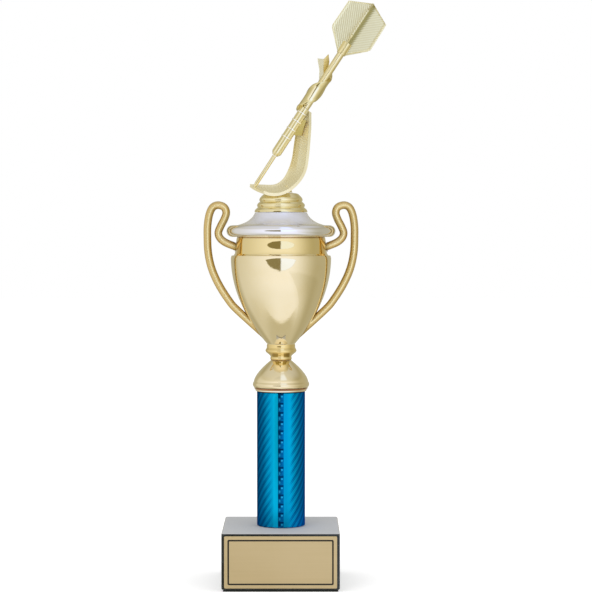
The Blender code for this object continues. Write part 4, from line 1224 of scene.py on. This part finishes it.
def tent_wall(across, down):
    """How bright the tent is all the way round, with the card."""
    swung = across - math.radians(30) * rises(down, 20, 52)
    left = LEFT + (FRONT - LEFT) * falls(0 - across, 0, 125)
    right = RIGHT + (FRONT - RIGHT) * falls(swung, 15, 95)
    wide = abs(across)
    wall = BACK + (left.math("MINIMUM", right) - BACK) * falls(wide, 112, 135)
    card = across - math.radians(CARD_EDGE) - CARD_LEAN * (down - math.radians(CARD_START))
    card = rises(card, -1.5, 1.5) * rises(down, 14, 18) * falls(wide, 90, 120)
    return wall * (1 - CARD_DIM * card) * (1 - 0.07 * rises(down, 22, 42))


def mirrored_room(way):
    """The colour that a mirror shows in each direction."""
    x, y, z = parts_of(way)
    across, up = x.math("ARCTAN2", 0 - y), z.math("ARCSINE")
    down = 0 - up
    wall = tent_wall(across, down)
    beyond = (0 - y + z * TABLE_EDGE).smooth_step(-0.06, 0.04)
    beyond = beyond.math("MAXIMUM", falls(down, 42, 64))
    level = (UNDER + (wall - UNDER) * beyond) * (1 - 0.17 * rises(up, 20, 36))

    squashed = (across / OPENING_WIDE) ** 2 + (up / OPENING_HIGH) ** 2
    opening = 1 - squashed.smooth_step(0.92, 1.03)
    level = level + opening * (OPENING_DARK - level)
    dull = level.math("MINIMUM", FRONT)
    tinted = way.add("ShaderNodeCombineXYZ", None, {
        0: level ** 0.9, 1: level, 2: 1.03 * level * dull ** 0.5})
    tinted = (opening * rises(across, -1.2, 1.2)).mix(tinted, LAMP_TINT)

    hood = 1 - ((across / 0.7) ** 2 + ((up - 0.72) / 0.4) ** 2).smooth_step(0.5, 1.2)
    roof = CEILING * (1 - 0.12 * hood) * (0.72 + 0.35 * wall)
    roof = way.add("ShaderNodeCombineXYZ", None, {0: roof, 1: roof * 0.985, 2: roof * 0.93})
    strip = rises(across, -9, 5) * falls(across, 22, 40) * rises(up, 34, 46) * falls(up, 60, 80)
    return (strip * STRIP_SHARE).mix(rises(up, 28, 62).mix(tinted, roof), LAMP_TINT)


world = bpy.data.worlds.new("studio")
bpy.context.scene.world = world
world.use_nodes = True
world.node_tree.nodes.clear()
tree = Wire(world.node_tree)
camera, glossy, clear = rays(tree)
plain_light = camera.math("MAXIMUM", clear).mix((*(PLAIN_LIGHT,) * 3, 1), (1, 1, 1, 1))
room = mirrored_room(tree.add("ShaderNodeTexCoord", out=0))
close(tree, tree.add("ShaderNodeBackground", None, {
    "Color": glossy.mix(plain_light, room), "Strength": 1.0}), "ShaderNodeOutputWorld")
world.cycles.sampling_method = "NONE"
print("world", world.name, "with", len(world.node_tree.nodes), "nodes")

# %% Lamps
def soft_lamp(name, place, size, watts):
    lamp = bpy.data.lights.new(name, "AREA")
    lamp.shape = "RECTANGLE"
    lamp.size, lamp.size_y = size
    lamp.energy = watts
    made = shown(name, lamp)
    made.location = place
    aim = Vector((0, 0, TROPHY_HEIGHT / 2)) - Vector(place)
    made.rotation_euler = aim.to_track_quat("-Z", "Y").to_euler()
    made.visible_glossy = False


soft_lamp("key", (-0.9, -1.3, 1.2), (1.0, 1.0), 5.0)
soft_lamp("fill", (1.2, -1.0, 0.9), (1.2, 1.2), 3.0)

# %% [markdown]
# ## Camera
# The photograph is nearly level, from a little above the middle of the trophy, through a long
# lens. The rod stands just left of the middle of the picture.

# %% Set up the camera
CAMERA_AWAY, CAMERA_RIGHT, CAMERA_UP = 1.254, 9.9 * MM, 226.2 * MM
CAMERA_DIP = math.radians(1.69)
SENSOR, LENS = 36.0, 115.6

data = bpy.data.cameras.new("camera")
data.sensor_width = SENSOR
data.lens = LENS
data.clip_start = 0.01
camera = shown("camera", data)
camera.location = (CAMERA_RIGHT, -CAMERA_AWAY, CAMERA_UP)
camera.rotation_euler = (math.radians(90) - CAMERA_DIP, 0, 0)
bpy.context.scene.camera = camera

bpy.context.scene.view_settings.view_transform = "Standard"
